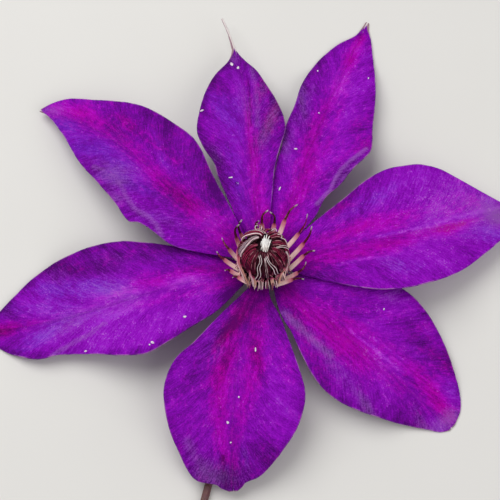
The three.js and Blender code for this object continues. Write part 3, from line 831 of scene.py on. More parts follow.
# What is laid over the bar, the whole blade and the pale tip, in turn
tepalLayers = {
    "bar": [("red", "bar", 0.95, 1.6, 0, 0.6)],
    "blade": [
        # painted shade round the boss, a painted grey sheen, painted glints and a rim that is partly painted
        # rim light
        ("baseShade", "along", 7, 16, 0.5, 0),
        ("pale", "pale", 0.16, 1.05, 0, 0.8),
        ("sheenGlint", "sheenGlints", 1, 1.16, 0, 0.5),
        ("rim", "rim"),
    ],
    "tip": [("tipEdge", "side", 0.18, 0.3, 0, 0.75)],
}


def makeTepalMaterial(name, shape):
    material, tree, shader = newMaterial(name, tepalPaint["roughness"])
    along, across, fan, edge = attributeNodes(tree, "along", "across", "fan", "edge")
    streaks = placeGroup(tree, streakGroup, Along=along, Across=across, Fan=fan, Seed=float(shape["seed"]))
    grains = placeGrain(tree, tepalMarks["grainSize"], tepalMarks["mottleSize"])
    marks = {"fan": streaks["Fan Streak"], "fine": streaks["Fine Streak"], "slow": streaks["Slow Patch"],
             "rib": streaks["Rib Streak"], "grain": grains["Grain"], "mottle": grains["Blotch"]}

    def marked(start, use):
        return sumNodes(tree, start, [(marks[key], 0.5, share) for key, share in tepalMarks[use].items()])

    # painted light and shade from the patches and folds, and painted shade towards the margins
    light = mathNode(tree, "ADD", attributeNode(tree, "light"), 0.5)
    inside = rangeNode(tree, edge, *tepalMarks["edgeShadeWidth"])
    light = sumNodes(tree, light, [(inside, 1, shape["edgeShade"])])
    masks = {
        "along": along,
        "side": absolute(tree, across),
        "bar": marked(attributeNode(tree, "magenta"), "bar"),
        # the painted grey sheen
        "pale": marked(attributeNode(tree, "pale"), "pale"),
        # painted glints, more where the blade is painted lighter
        "sheenGlints": sumNodes(tree, marks["grain"], [(marks["mottle"], 0.5, 0.3), (light, 0.5, 0.3)]),
    }
    # a pale rim along the margins, broken here and there: partly the blade's own edge and partly painted rim
    # light
    rim = times(tree, rangeNode(tree, edge, 0.06, 0.3, 0.6, 0), rangeNode(tree, along, 16, 26))
    masks["rim"] = times(tree, rim, rangeNode(tree, marks["slow"], 0.3, 0.8, 0.1, 1))

    tone = marked(light, "tone")
    blue = rangeNode(tree, marked(attributeNode(tree, "blue"), "blue"), 0.05, 0.95, 0, 0.85)
    blade = mixNode(tree, blue, rampNode(tree, tone, tepalPaint["violet"]),
                    rampNode(tree, tone, tepalPaint["blue"]))
    bar = rampNode(tree, marked(light, "barTone"), tepalPaint["magenta"])
    bar = layPaints(tree, bar, tepalPaint, tepalLayers["bar"], masks)
    blade = mixNode(tree, rangeNode(tree, masks["bar"], 0, 1.05), blade, bar)
    blade = layPaints(tree, blade, tepalPaint, tepalLayers["blade"], masks)

    # the pale tip reaches back along the margins
    tip = layPaints(tree, tepalPaint["tip"], tepalPaint, tepalLayers["tip"], masks)
    tipPlace = sumNodes(tree, along, [(edge, 0.3, -4)])
    tipStart = shape["paleFrom"]
    atTip = rangeNode(tree, tipPlace, tipStart, tipStart + tepalMarks["tipLength"], 0, 0.95)
    tree.links.new(mixNode(tree, atTip, blade, tip), shader.inputs["Base Color"])

    tree.links.new(rangeNode(tree, marks["fine"], 0, 1, 0.5, 0.7), shader.inputs["Roughness"])
    height = sumNodes(tree, marks["fine"], [(marks["fan"], 0, 0.3), (marks["grain"], 0, 0.7)])
    addBump(tree, shader, height, 0.6, 0.16)
    shader.inputs["Specular IOR Level"].default_value = 0.02
    return material


underPaint = {
    "mauve": paint(146, 88, 172),
    "greyMauve": paint(116, 66, 142),
    "rib": paint(182, 158, 152),
    "ribPlaces": (0, 2.6),
    "ribWidth": (0.2, 0.7),
    "seed": 7.0,
}


def makeUndersideMaterial():
    material, tree, shader = newMaterial("tepalUnderside", 0.6)
    along, across, fan = attributeNodes(tree, "along", "across", "fan")
    streaks = placeGroup(tree, streakGroup, Along=along, Across=across, Fan=fan, Seed=underPaint["seed"])
    grain = placeGroup(tree, grainGroup)["Grain"]
    colour = mixNode(tree, streaks["Fan Streak"], underPaint["mauve"], underPaint["greyMauve"])
    spread = absolute(tree, across)
    for place in underPaint["ribPlaces"]:
        gap = absolute(tree, mathNode(tree, "SUBTRACT", spread, place))
        rib = rangeNode(tree, gap, *underPaint["ribWidth"], 0.8, 0)
        colour = mixNode(tree, rib, colour, underPaint["rib"])
    tree.links.new(colour, shader.inputs["Base Color"])
    addBump(tree, shader, mathNode(tree, "ADD", streaks["Rib Streak"], grain), 0.4, 0.15)
    shader.inputs["Sheen Weight"].default_value = 0.2
    return material


undersideMaterial = makeUndersideMaterial()
for name, shape in tepals.items():
    tepal = addTepal(name, shape)
    finishPiece(tepal, [makeTepalMaterial(name + "Top", shape), undersideMaterial], "tepal", shape["node"])
print("tepals done:", len(tepals))


# A strip of tube, straight along X from 0 to 1, modelled once and bent into each stamen or hair.
# profile gives its section at an angle, and its ends close over endShare of its length.
def makeUnitTube(name, steps, corners, profile, endShare):
    unit = addGrid(name, steps, corners)
    for vertex in unit.data.vertices:
        t = (vertex.co.x + 1) / 2
        y, z = profile(math.pi * (vertex.co.y + 1))
        fromEnd = min(min(t, 1 - t) / endShare, 1)
        size = math.sqrt(max(1 - (1 - fromEnd) ** 2, 0))
        vertex.co = (t, y * size, z * size)
    closeSeams(unit, 0.0005)
    setAttribute(unit, "along", [vertex.co.x for vertex in unit.data.vertices])
    setAttribute(unit, "across", [vertex.co.y for vertex in unit.data.vertices])
    return unit


def smoothPath(points, t):
    # the curve through the points, carried on straight past its ends
    last = len(points) - 1
    i = min(max(int(t * last), 0), last - 1)
    s = t * last - i
    a, b = points[i], points[i + 1]
    before = points[i - 1] if i > 0 else a * 2 - b
    after = points[i + 2] if i < last - 1 else b * 2 - a
    if s < 0 or s > 1:
        return a.lerp(b, s)
    return 0.5 * (2 * a + (b - before) * s + (2 * before - 5 * a + 4 * b - after) * s**2
                  + (3 * a - before - 3 * b + after) * s**3)


def bendCopy(unit, place, points, upAt, sizeAt, tone, twist=0, rim=1):
    # bends a copy of the unit along the points; tone, rim and half its width go on it as attributes
    copy = unit.copy()
    copy.data = unit.data.copy()
    bpy.context.collection.objects.link(copy)
    step = 0.02
    frames = {}
    halves = []
    for vertex in copy.data.vertices:
        t = round(vertex.co.x, 4)
        if t not in frames:
            centre = smoothPath(points, t)
            tangent = (smoothPath(points, t + step) - smoothPath(points, t - step)).normalized()
            turned = Matrix.Rotation(math.radians(twist * t), 3, tangent)
            acrossWay = turned @ upAt(centre).cross(tangent).normalized()
            frames[t] = centre, acrossWay, tangent.cross(acrossWay), sizeAt(t)
        centre, acrossWay, outWay, size = frames[t]
        point = centre + acrossWay * vertex.co.y * size[0] / 2 + outWay * vertex.co.z * size[1] / 2
        vertex.co = place @ point * mm
        halves.append(size[0] / 2)
    setAttribute(copy, "half", halves)
    for key, value in (("tone", tone), ("rim", rim)):
        setAttribute(copy, key, [value] * len(halves))
    return copy


# Sections of the strips, as shares of half their width and depth. A power under 1 squares the edges,
# and the depth is that of the middle.
strapSection = {"power": 0.8, "depth": 0.7}
antherSection = {
    "power": 0.75,
    "depth": 0.55,
    "sacPlace": 0.84,
    "sacWidth": 0.13,
    "sacDepth": 0.4,
    "ridges": 13,
    "ridgeDepth": 0.12,
}


def strapProfile(angle):
    # a flat strap with a shallow channel on each face
    y, z = math.cos(angle), math.sin(angle)
    return math.copysign(abs(y) ** strapSection["power"], y), z * mixed(strapSection["depth"], 1, y * y)


def antherProfile(angle):
    # a flat strap with a swollen sac along each edge and fine grooves between them
    shape = antherSection
    y, z = math.cos(angle), math.sin(angle)
    y = math.copysign(abs(y) ** shape["power"], y)
    sac = math.exp(-(((abs(y) - shape["sacPlace"]) / shape["sacWidth"]) ** 2))
    groove = shape["ridgeDepth"] * math.cos(shape["ridges"] * y) * (1 - sac)
    return y, z * (shape["depth"] + shape["sacDepth"] * sac + groove)


def roundProfile(angle):
    return math.cos(angle), math.sin(angle)


filamentUnit = makeUnitTube("filamentUnit", 20, 14, strapProfile, 0.04)
antherUnit = makeUnitTube("antherUnit", 30, 40, antherProfile, 0.07)
threadUnit = makeUnitTube("threadUnit", 22, 14, strapProfile, 0.08)
hairUnit = makeUnitTube("hairUnit", 24, 8, roundProfile, 0.1)

# Outer stamens: azimuth of the root, the heading, the slope, the length of the filament, the length
# of the thin anther, and how far the anther turns to the left and lifts on the way. The widths and
# depths are those at the root and at the tip. A tone, a twist or a rim is drawn between its two.
outerStamens = {
    "rootRadius": 6.8,
    "rootHeight": 0.2,
    "filamentWidth": (1.45, 1.218),
    "filamentDepth": (0.55, 0.44),
    "filamentTone": (0.35, 0.7),
    "neckFrom": 0.86,
    "neckTaper": 0.45,
    "sag": 0.25,
    "antherWidth": (0.78, 0.351),
    "antherDepth": (0.42, 0.294),
    "antherTone": (0.1, 0.6),
    "antherTwist": (-90, 90),
    "antherRim": (-0.1, 0.3),
    "tuckedIn": 0.06,
    "seed": 5,
    "rows": [
        (62, 64, 42, 8.4, 5.7, -37, -7), (37, 37, 44, 7.8, 6.6, 36, 10), (10, 38, 40, 7.6, 5.5, 34, 8),
        (-15, 32, 40, 7.2, 3.3, -30, -20), (-44, 12, 38, 6, 4.3, 50, 15),
        (-64, 4, 36, 6.5, 2.9, -17, -36), (-123, 164, 33, 4.9, 1.4, 63, -32),
        (-143, 165, 37, 5.5, 1.4, 39, -45), (-165, 158, 37, 6.6, 2.8, -32, -9),
        (172, 146, 48, 5.8, 3.7, -28, -21), (150, 124, 56, 6.3, 4.1, -77, -28),
        (130, 134, 55, 5.8, 4.3, -78, -25), (102, 106, 50, 4.9, 2.4, -63, -60),
        (90, 100, 51, 6.3, 4.3, -62, -32), (76, 72, 48, 6.4, 3.7, 65, -34),
    ],
}


def addOuterStamens():
    filaments, anthers = [], []
    shape = outerStamens
    random.seed(shape["seed"])
    for root, heading, slope, filament, anther, turn, lift in shape["rows"]:
        start = direction(root, 0) * shape["rootRadius"] + upBy(shape["rootHeight"])
        end = start + direction(heading, slope) * filament
        sag = direction(heading, slope - 90) * shape["sag"]
        middle = end + direction(heading + turn / 3, slope + lift / 3) * (anther / 2)
        tip = middle + direction(heading + turn, slope + lift) * (anther / 2)
        faceUp = direction(heading, slope).cross(upBy(1).cross(direction(heading, 0)))

        def strapSize(t):
            neck = 1 - shape["neckTaper"] * smoothStep(t, shape["neckFrom"], 1)
            return mixed(*shape["filamentWidth"], t) * neck, mixed(*shape["filamentDepth"], t)

        filaments.append(bendCopy(
            filamentUnit, bossPlace, [start, start.lerp(end, 0.5) + sag, end], lambda point: faceUp,
            strapSize, random.uniform(*shape["filamentTone"]),
        ))
        back = end.lerp(start, shape["tuckedIn"])
        anthers.append(bendCopy(
            threadUnit, bossPlace, [back, middle, tip], lambda point: faceUp,
            lambda t: (mixed(*shape["antherWidth"], t), mixed(*shape["antherDepth"], t)),
            random.uniform(*shape["antherTone"]), twist=random.uniform(*shape["antherTwist"]),
            rim=random.uniform(*shape["antherRim"]),
        ))
    return filaments, anthers


# Inner stamens. A route is azimuths and angles from the ball's own axis, from the anther's base to
# its tip, with its width, how far it stands out, its tone from black to silvery, and how white its
# edges are. The fill lies under them all. Its width and that of the curls are those at the base and
# at the tip, and its ends are angles. The other pairs are limits to draw between.
innerStamens = {
    "radius": 6.75,
    "depth": 0.85,
    "leastDepth": 0.8,
    "uneven": 0.1,
    "sunkBase": 0.35,
    "sunkTip": 0.55,
    "baseWidth": (0.7, 0.85),
    "swellPace": 1.3,
    "taper": 0.25,
    "twist": (-30, 30),
    "seed": 11,
    "routes": [
        ([(152, 68), (143, 55), (133, 42), (119, 34), (103, 25), (92, 22)], 2.3, 0.85, 0.6, 1.1),
        ([(-164, 66), (-169, 55), (-178, 43), (170, 32), (148, 23), (118, 19)], 2.4, 0.85, 1, 0.6),
        ([(-158, 72), (-163, 48), (-167, 27), (-172, 12)], 1.5, 0.45, 0.4, 0.3),
        ([(-142, 86), (-147, 60), (-150, 38), (-149, 20)], 2.6, 0.3, 0.5, 0.1),
        ([(-128, 88), (-130, 60), (-131, 40), (-128, 22)], 1.9, 0.25, 0.35, 0),
        ([(-113, 88), (-116, 60), (-119, 42), (-119, 24)], 1.4, 0.3, 0.2, 0.3),
        ([(-107, 116), (-103, 94), (-98, 76), (-101, 58), (-97, 42), (-108, 28)], 1.15, 0.6, 0, 1),
        ([(-89, 106), (-89, 80), (-90, 56), (-90, 30)], 0.9, 0.1, 0, 0.05),
        ([(-79, 102), (-81, 74), (-82, 52), (-83, 34)], 0.8, 0.2, 0.05, 0.6),
        ([(-54, 100), (-60, 80), (-62, 64), (-71, 47), (-76, 31)], 1.2, 0.45, 0.05, 1),
        ([(-42, 96), (-44, 68), (-46, 48), (-48, 26)], 1.5, 0.35, 0.3, 0.3),
        ([(-24, 90), (-22, 62), (-22, 42), (-24, 24)], 2.2, 0.3, 0.45, 0.15),
        ([(-4, 86), (4, 58), (9, 38), (8, 22)], 2, 0.45, 0.5, 0.25),
        ([(8, 78), (2, 58), (-4, 42), (-14, 32)], 0.9, 0.75, 0.3, 0.9),
        ([(24, 86), (32, 62), (40, 44), (50, 27)], 1.8, 0.6, 0.5, 0.35),
        ([(44, 84), (52, 62), (60, 44), (72, 30)], 1.7, 0.5, 0.4, 0.4),
        ([(66, 86), (72, 62), (80, 46), (90, 34)], 1.7, 0.4, 0.35, 0.3),
        ([(96, 90), (97, 68), (96, 52), (96, 40)], 1.8, 0.4, 0.3, 0.3),
        ([(124, 92), (120, 74), (114, 60), (108, 48)], 1.8, 0.3, 0.2, 0.2),
        ([(148, 96), (150, 84), (150, 74), (146, 64)], 1.9, 0.2, 0.3, 0.3),
        ([(172, 96), (174, 80), (172, 66), (164, 54)], 1.9, 0.2, 0.2, 0.3),
        ([(-34, 100), (-25, 86), (-15, 73), (-4, 62)], 0.9, 0.75, 0.5, 0.9),
    ],
    "curls": [
        [(112, 38, 1), (112, 46, 1.4), (107, 52, 1.7), (102, 50, 1.5)],
        [(101, 40, 1), (99, 48, 1.4), (100, 54, 1.8), (104, 60, 2)],
        [(96, 38, 0.9), (94, 45, 1.4), (96, 52, 1.6), (100, 55, 1.5)],
        [(62, 40, 1), (60, 46, 1.4), (54, 48, 1.5), (49, 44, 1.3)],
        [(38, 40, 1.1), (35, 45, 1.4), (28, 46, 1.4), (22, 42, 1.2)],
        [(24, 44, 1.1), (20, 51, 1.3), (16, 56, 1.2), (12, 63, 1)],
        [(112, 41, 1.1), (102, 32, 1.4), (88, 25, 1.3), (73, 22, 1)],
    ],
    "curlWidth": (0.4, 0.24),
    "curlDepth": 0.3,
    "curlTone": (0.4, 0.9),
    "curlTwist": (60, 140),
    "curlRim": (0.4, 1),
    "fillCount": 18,
    "fillWidth": (2.1, 1.05),
    "fillPlace": 0.2,
    "fillEnds": (104, 18),
    "fillTurn": (4, 22),
    "fillSunk": 0.35,
    "fillTone": (0, 0.2),
    "fillRim": (0, 0.3),
}


def ballPoint(azimuth, polar, radius):
    return direction(azimuth, 90 - polar) * radius + upBy(flower["ballHeight"])


def fromBall(point):
    return (point - upBy(flower["ballHeight"])).normalized()


def addInnerStamens():
    anthers = []
    shape = innerStamens
    radius, uneven = shape["radius"], shape["uneven"]
    random.seed(shape["seed"])
    for route, width, stand, tone, rim in shape["routes"]:
        points = [ballPoint(a, p, radius + stand + random.uniform(-uneven, uneven)) for a, p in route]
        points[0] = points[0] - fromBall(points[0]) * shape["sunkBase"]
        points[-1] = points[-1] - fromBall(points[-1]) * shape["sunkTip"]
        baseWidth = random.uniform(*shape["baseWidth"])

        def sizeAt(t):
            broad = mixed(baseWidth, 1, math.sin(math.pi * min(t * shape["swellPace"], 1)))
            depth = shape["depth"] * mixed(shape["leastDepth"], 1, broad)
            return width * broad * (1 - shape["taper"] * t), depth

        anthers.append(bendCopy(antherUnit, ballPlace, points, fromBall, sizeAt, tone,
                                twist=random.uniform(*shape["twist"]), rim=rim))
    for k in range(shape["fillCount"]):
        azimuth = 360 * (k + random.uniform(-shape["fillPlace"], shape["fillPlace"])) / shape["fillCount"]
        bend = random.uniform(*shape["fillTurn"])
        points = []
        for i in range(5):
            polar = mixed(*shape["fillEnds"], i / 4)
            points.append(ballPoint(azimuth + bend * i / 4, polar, radius - shape["fillSunk"]))
        anthers.append(bendCopy(
            antherUnit, ballPlace, points, fromBall,
            lambda t: (mixed(*shape["fillWidth"], t), shape["depth"]),
            random.uniform(*shape["fillTone"]), rim=random.uniform(*shape["fillRim"]),
        ))
    for route in shape["curls"]:
        # a dry pale tip that has curled up
        points = [ballPoint(a, p, radius + stand) for a, p, stand in route]
        anthers.append(bendCopy(
            threadUnit, ballPlace, points, fromBall,
            lambda t: (mixed(*shape["curlWidth"], t), shape["curlDepth"]), random.uniform(*shape["curlTone"]),
            twist=random.uniform(*shape["curlTwist"]), rim=random.uniform(*shape["curlRim"]),
        ))
    return anthers


# The filaments of the inner stamens stand close together round the foot of the ball. A row is the
# azimuth of the root, the azimuth and the angle from the ball's axis of the top, the width, how far
# it stands out, and its tone, from red at 0.1 through cream to ochre above 0.8. Thin ones fill in
# among them, each with values drawn between the two of a pair.
innerFilaments = {
    "rows": [
        (-129, -168, 68, 1.0, 0.75, 0.4), (-123, -172, 62, 1.15, 0.4, 0.95), (-150, 178, 72, 1.0, 0.3, 0.4),
        (-168, 170, 76, 1.0, 0.4, 0.5), (172, 158, 80, 1.1, 0.3, 0.4), (-138, -150, 78, 0.8, 0.35, 0.55),
        (-110, -122, 71, 0.85, 0.5, 0.65), (-106, -112, 86, 0.8, 0.45, 0.92), (-97, -104, 100, 0.4, 0.6, 0.5),
        (-91, -88, 104, 0.35, 0.5, 0.6), (-84, -83, 98, 0.35, 0.6, 0.5), (-68, -71, 90, 1.1, 0.4, 0.92),
        (-60, -50, 92, 0.6, 0.5, 0.1), (-54, -24, 88, 1.0, 0.45, 0.93), (-38, -6, 86, 0.7, 0.7, 0.4),
        (-48, -44, 96, 0.6, 0.2, 0.4), (-20, 6, 90, 0.8, 0.4, 0.4), (-4, 12, 88, 0.9, 0.35, 0.9),
        (16, 24, 84, 1.0, 0.3, 0.4), (34, 40, 82, 1.1, 0.3, 0.5),
    ],
    "rootRadius": 7,
    "rootDrop": 0.3,
    "footAngle": 118,
    "topRadius": 6.9,
    "leanIn": 0.6,
    "depth": 0.45,
    "taper": 0.3,
    "footWidth": 0.5,
    "footShare": 0.3,
    "fillCount": 74,
    "fillPlace": 0.4,
    "fillWidth": (0.22, 0.55),
    "fillTop": (82, 118),
    "fillTurn": 16,
    "fillStand": (-0.4, 0.5),
    "fillTonePower": 1.6,
    "fillSpread": (-0.5, 1.3),
    "fillDrop": (0.3, 1.1),
    "seed": 23,
}


def addInnerFilaments():
    filaments = []
    shape = innerFilaments
    random.seed(shape["seed"])
    rows = [(*row, 0, shape["rootDrop"]) for row in shape["rows"]]
    for k in range(shape["fillCount"]):
        azimuth = 360 * (k + random.uniform(-shape["fillPlace"], shape["fillPlace"])) / shape["fillCount"]
        top = azimuth + random.uniform(-shape["fillTurn"], shape["fillTurn"])
        polar = random.uniform(*shape["fillTop"])
        width = random.uniform(*shape["fillWidth"])
        stand = random.uniform(*shape["fillStand"])
        tone = random.random() ** shape["fillTonePower"]
        spread = random.uniform(*shape["fillSpread"])
        rows.append((azimuth, top, polar, width, stand, tone, spread, random.uniform(*shape["fillDrop"])))
    for root, top, polar, width, stand, tone, spread, drop in rows:
        reach = shape["rootRadius"] + stand * shape["leanIn"] + spread
        turn = (top - root + 180) % 360 - 180
        points = [direction(root, 0) * reach + upBy(-drop)]
        for i in (1, 2, 3):
            angle = mixed(shape["footAngle"], polar, i / 3)
            points.append(ballPoint(root + turn * i / 3, angle, shape["topRadius"] + stand))

        def sizeAt(t):
            foot = mixed(shape["footWidth"], 1, smoothStep(t, 0, shape["footShare"]))
            return width * (1 - shape["taper"] * t) * foot, shape["depth"]

        filaments.append(bendCopy(filamentUnit, ballPlace, points, fromBall, sizeAt, tone))
    return filaments


# A dark fluted ball behind the anthers, flattened where it stands on the disc. Its black and dark
# red are painted shade that shows through the gaps between the anthers.
ballCore = {
    "radius": 6.0,
    "segments": 40,
    "rings": 24,
    "flutes": 20,
    "fluteDepth": 0.03,
    "foot": -4.4,
}


def addCore():
    shape = ballCore
    deselectAll()
    bpy.ops.mesh.primitive_uv_sphere_add(
        segments=shape["segments"], ring_count=shape["rings"], radius=shape["radius"])
    core = nameActive("ballCore")
    for vertex in core.data.vertices:
        azimuth = math.atan2(vertex.co.y, vertex.co.x)
        point = vertex.co * (1 + shape["fluteDepth"] * math.sin(shape["flutes"] * azimuth))
        point.z = max(point.z, shape["foot"]) + flower["ballHeight"]
        vertex.co = ballPlace @ point * mm
    bpy.ops.object.shade_smooth()
    return core


# The disc of filament roots, grooved all round. Its profile is radius and height, from below upwards.
rootDisc = {
    "cellsRound": 120,
    "cellsUp": 14,
    "profile": [(0.1, 0), (5.9, 0), (6.3, 0.1), (6.5, 0.4), (6.3, 0.8), (5.9, 1.1), (4, 1.25), (0.1, 1.25)],
    "grooves": 30,
    "grooveDepth": 0.02,
    "groovesFrom": (4, 6.5),
    "closedUnder": 0.15,
}


def addDisc():
    shape = rootDisc
    disc = addGrid("disc", shape["cellsRound"], shape["cellsUp"])
    rows = shape["profile"]
    for vertex in disc.data.vertices:
        turn = math.pi * (vertex.co.x + 1)
        t = (vertex.co.y + 1) / 2 * (len(rows) - 1)
        i = min(int(t), len(rows) - 2)
        radius = mixed(rows[i][0], rows[i + 1][0], t - i)
        height = mixed(rows[i][1], rows[i + 1][1], t - i)
        groove = shape["grooveDepth"] * math.sin(shape["grooves"] * turn)
        radius *= 1 + groove * smoothStep(radius, *shape["groovesFrom"])
        if radius < shape["closedUnder"]:
            radius = 0
        point = Vector((radius * math.cos(turn), radius * math.sin(turn), height))
        vertex.co = bossPlace @ point * mm
    closeSeams(disc, 0.01 * mm)
    bpy.ops.object.shade_smooth()
    return disc


# The tuft of white silky styles rises from the middle of the ball and lies over towards the back.
# Its middle line runs by root, low and high, and spread is how far the hairs stand from each of them.
# A hair's width is drawn between two, and widthShare is how much of that its root and its tip have.
styleTuft = {
    "count": 46,
    "turnEach": 137.5,
    "root": (0.2, -0.5, 6.5),
    "low": (0.35, -1.5, 12.3),
    "high": (0.8, 1.15, 13.8),
    "spread": (0.7, 0.95, 1.25),
    "flatness": 0.5,
    "crown": 0.8,
    "ragged": 1.4,
    "arch": 0.35,
    "width": (0.22, 0.4),
    "widthShare": (1.1, 0.7),
    "faceUp": (0, 0.3, 1),
    "seed": 31,
}


def addStyles():
    hairs = []
    shape = styleTuft
    faceUp = Vector(shape["faceUp"])
    random.seed(shape["seed"])
    for k in range(shape["count"]):
        ring = math.sqrt((k + 0.5) / shape["count"])
        turn = math.radians(shape["turnEach"] * k)
        x, y = math.cos(turn) * ring, math.sin(turn) * ring
        rise = shape["crown"] * (y - abs(x) * 0.5)
        points = []
        for key, spread in zip(("root", "low", "high"), shape["spread"]):
            points.append(Vector(shape[key]) + Vector((x * spread, y * spread * shape["flatness"], 0)))
        points[1] += Vector((random.uniform(-0.25, 0.25), random.uniform(-0.5, 1) * shape["ragged"], rise))
        points[2] += Vector((random.uniform(-0.3, 0.3), random.uniform(-1, 0.3) * shape["ragged"], rise))
        arched = points[1].lerp(points[2], 0.5) + Vector((random.uniform(-0.15, 0.15), 0, shape["arch"]))
        points.insert(2, arched)
        width = random.uniform(*shape["width"])
        hairs.append(bendCopy(
            hairUnit, ballPlace, points, lambda point: faceUp,
            lambda t: [width * mixed(*shape["widthShare"], t)] * 2, random.random(),
        ))
    return hairs


stamenPaint = {
    "cream": paint(255, 231, 222),
    "palePink": paint(251, 208, 208),
    "rose": paint(214, 146, 158),
    "pink": paint(212, 98, 130),
    "red": paint(126, 12, 62),
    "ochre": paint(222, 170, 124),
    "maroon": paint(112, 10, 48),
    "black": paint(12, 1, 9),
    "crimson": paint(172, 28, 80),
    "silver": paint(255, 238, 240),
    "grey": paint(196, 172, 184),
    "white": paint(255, 252, 250),
    "ivory": paint(250, 238, 232),
    # painted shade between the style hairs
    "gap": paint(110, 76, 80),
    "shadow": paint(48, 8, 26),
}


filamentLayers = [
    ("palePink", "place", 0.1, 0.6),
    ("ochre", "tone", 0.72, 0.95, 0, 0.8),
    ("rose", "lines", 0.3, 0.5, 0.4, 0),
    ("pink", "place", 0.5, 0.88, 0, 0.85),
    ("red", "place", 0.84, 0.99),
    ("red", "tone", 0.12, 0.32, 0.9, 0),
    ("pink", "side", 0.8, 1, 0, 0.5),
]


def makeFilamentMaterial():
    material, tree, shader = newMaterial("filaments", 0.5)
    along, across, tone = attributeNodes(tree, "along", "across", "tone")
    grain = placeGroup(tree, grainGroup)["Grain"]
    lines = noiseNode(tree, vectorNode(tree, (across, 3), (along, 1), (tone, 7)), 1.6, 3)
    place = sumNodes(tree, along, [(tone, 0.5, 0.16)])
    masks = {"place": place, "tone": tone, "lines": lines, "side": absolute(tree, across)}
    colour = layPaints(tree, stamenPaint["cream"], stamenPaint, filamentLayers, masks)
    tree.links.new(colour, shader.inputs["Base Color"])
    addBump(tree, shader, sumNodes(tree, lines, [(grain, 0, 0.3)]), 0.5, 0.12)
    shader.inputs["Specular IOR Level"].default_value = 0.3
    return material


# the crimson is partly the anthers' own red and partly painted highlight, and the black in the grooves is
# painted shade
antherLayers = [
    ("maroon", "dark", 0.2, 0.9),
    ("crimson", "bright", 0.55, 1.1, 0, 0.85),
    ("black", "lines", 0.02, 0.3, 0.75, 0),
    ("grey", "silvery"),
    ("black", "grooves"),
    ("black", "hairlines", 0.39, 0.46, 0.85, 0),
    ("rose", "hairlines", 0.62, 0.7, 0, 0.4),
]


def makeAntherMaterial():
    material, tree, shader = newMaterial("anthers", 0.4)
    along, across, tone, half, rim = attributeNodes(tree, "along", "across", "tone", "half", "rim")
    grain = placeGroup(tree, grainGroup)["Grain"]
    ridges = mathNode(tree, "COSINE", times(tree, across, antherSection["ridges"]))
    lines = noiseNode(tree, vectorNode(tree, (across, 5), (along, 1.6), (tone, 9)), 1.5, 3, 0.6)
    lines = rangeNode(tree, sumNodes(tree, lines, [(ridges, 0, 0.2)]), 0.34, 0.66)
    pale = rangeNode(tree, tone, 0.7, 0.95)
    masks = {
        "lines": lines,
        "dark": sumNodes(tree, lines, [(tone, 0.4, 0.9)]),
        "bright": sumNodes(tree, lines, [(tone, 0.5, 1)]),
        "silvery": times(tree, rangeNode(tree, lines, 0.5, 0.75), pale),
        # painted shade in the grooves of the pale anthers
        "grooves": times(tree, rangeNode(tree, ridges, -0.7, 0.1, 0.95, 0), pale),
        "hairlines": noiseNode(tree, vectorNode(tree, (across, 7), (along, 2), (tone, 19)), 1.5, 2, 0.6),
    }
    colour = layPaints(tree, stamenPaint["black"], stamenPaint, antherLayers, masks)
    # a pale line just inside each edge, broken here and there, as wide in millimetres on every anther
    fromEdge = times(tree, mathNode(tree, "SUBTRACT", 1, absolute(tree, across)), half)
    fromEdge = sumNodes(tree, fromEdge, [(lines, 0.5, 0.05)])
    edge = times(tree, rangeNode(tree, fromEdge, 0.04, 0.08), rangeNode(tree, fromEdge, 0.18, 0.24, 1, 0))
    side = mathNode(tree, "SIGN", across)
    broken = noiseNode(tree, vectorNode(tree, (along, 4), (side, 1), (tone, 31)), 1, 2)
    shown = rangeNode(tree, sumNodes(tree, rim, [(broken, 0.5, 2)]), 0.1, 0.7)
    edgePaint = mixNode(tree, rangeNode(tree, rim, 0.3, 0.85), stamenPaint["rose"], stamenPaint["silver"])
    colour = mixNode(tree, times(tree, edge, shown), colour, edgePaint)
    # the thin ones are paler at the tip
    thin = rangeNode(tree, half, 0.22, 0.3, 0.55, 0)
    atEnd = times(tree, thin, rangeNode(tree, along, 0.7, 0.92))
    colour = mixNode(tree, atEnd, colour, stamenPaint["silver"])
    tree.links.new(colour, shader.inputs["Base Color"])
    addBump(tree, shader, sumNodes(tree, lines, [(grain, 0, 0.3)]), 0.6, 0.15)
    shader.inputs["Specular IOR Level"].default_value = 0.12
    return material


def makeCoreMaterial():
    material, tree, shader = newMaterial("ballCore", 0.6)
    grain = placeGroup(tree, grainGroup)["Grain"]
    # painted shade: black mottled with a dark red
    colour = mixNode(tree, grain, stamenPaint["black"], stamenPaint["shadow"])
    tree.links.new(colour, shader.inputs["Base Color"])
    shader.inputs["Specular IOR Level"].default_value = 0.1
    return material


styleLayers = [
    ("white", "place", 0.4, 0.75),
    ("ivory", "grain", 0.5, 1, 0, 0.2),
    # each hair is darker along its sides: painted shade between the strands
    ("gap", "side", 0.75, 1, 0, 0.5),
]


def makeStyleMaterial():
    material, tree, shader = newMaterial("styles", 0.5)
    along, across, tone = attributeNodes(tree, "along", "across", "tone")
    grain = placeGroup(tree, grainGroup)["Grain"]
    place = sumNodes(tree, along, [(tone, 0.3, 0.5)])
    masks = {"place": place, "grain": grain, "side": absolute(tree, across)}
    colour = layPaints(tree, stamenPaint["ivory"], stamenPaint, styleLayers, masks)
    tree.links.new(colour, shader.inputs["Base Color"])
    addBump(tree, shader, grain, 0.3, 0.08)
    shader.inputs["Sheen Weight"].default_value = 0.4
    return material


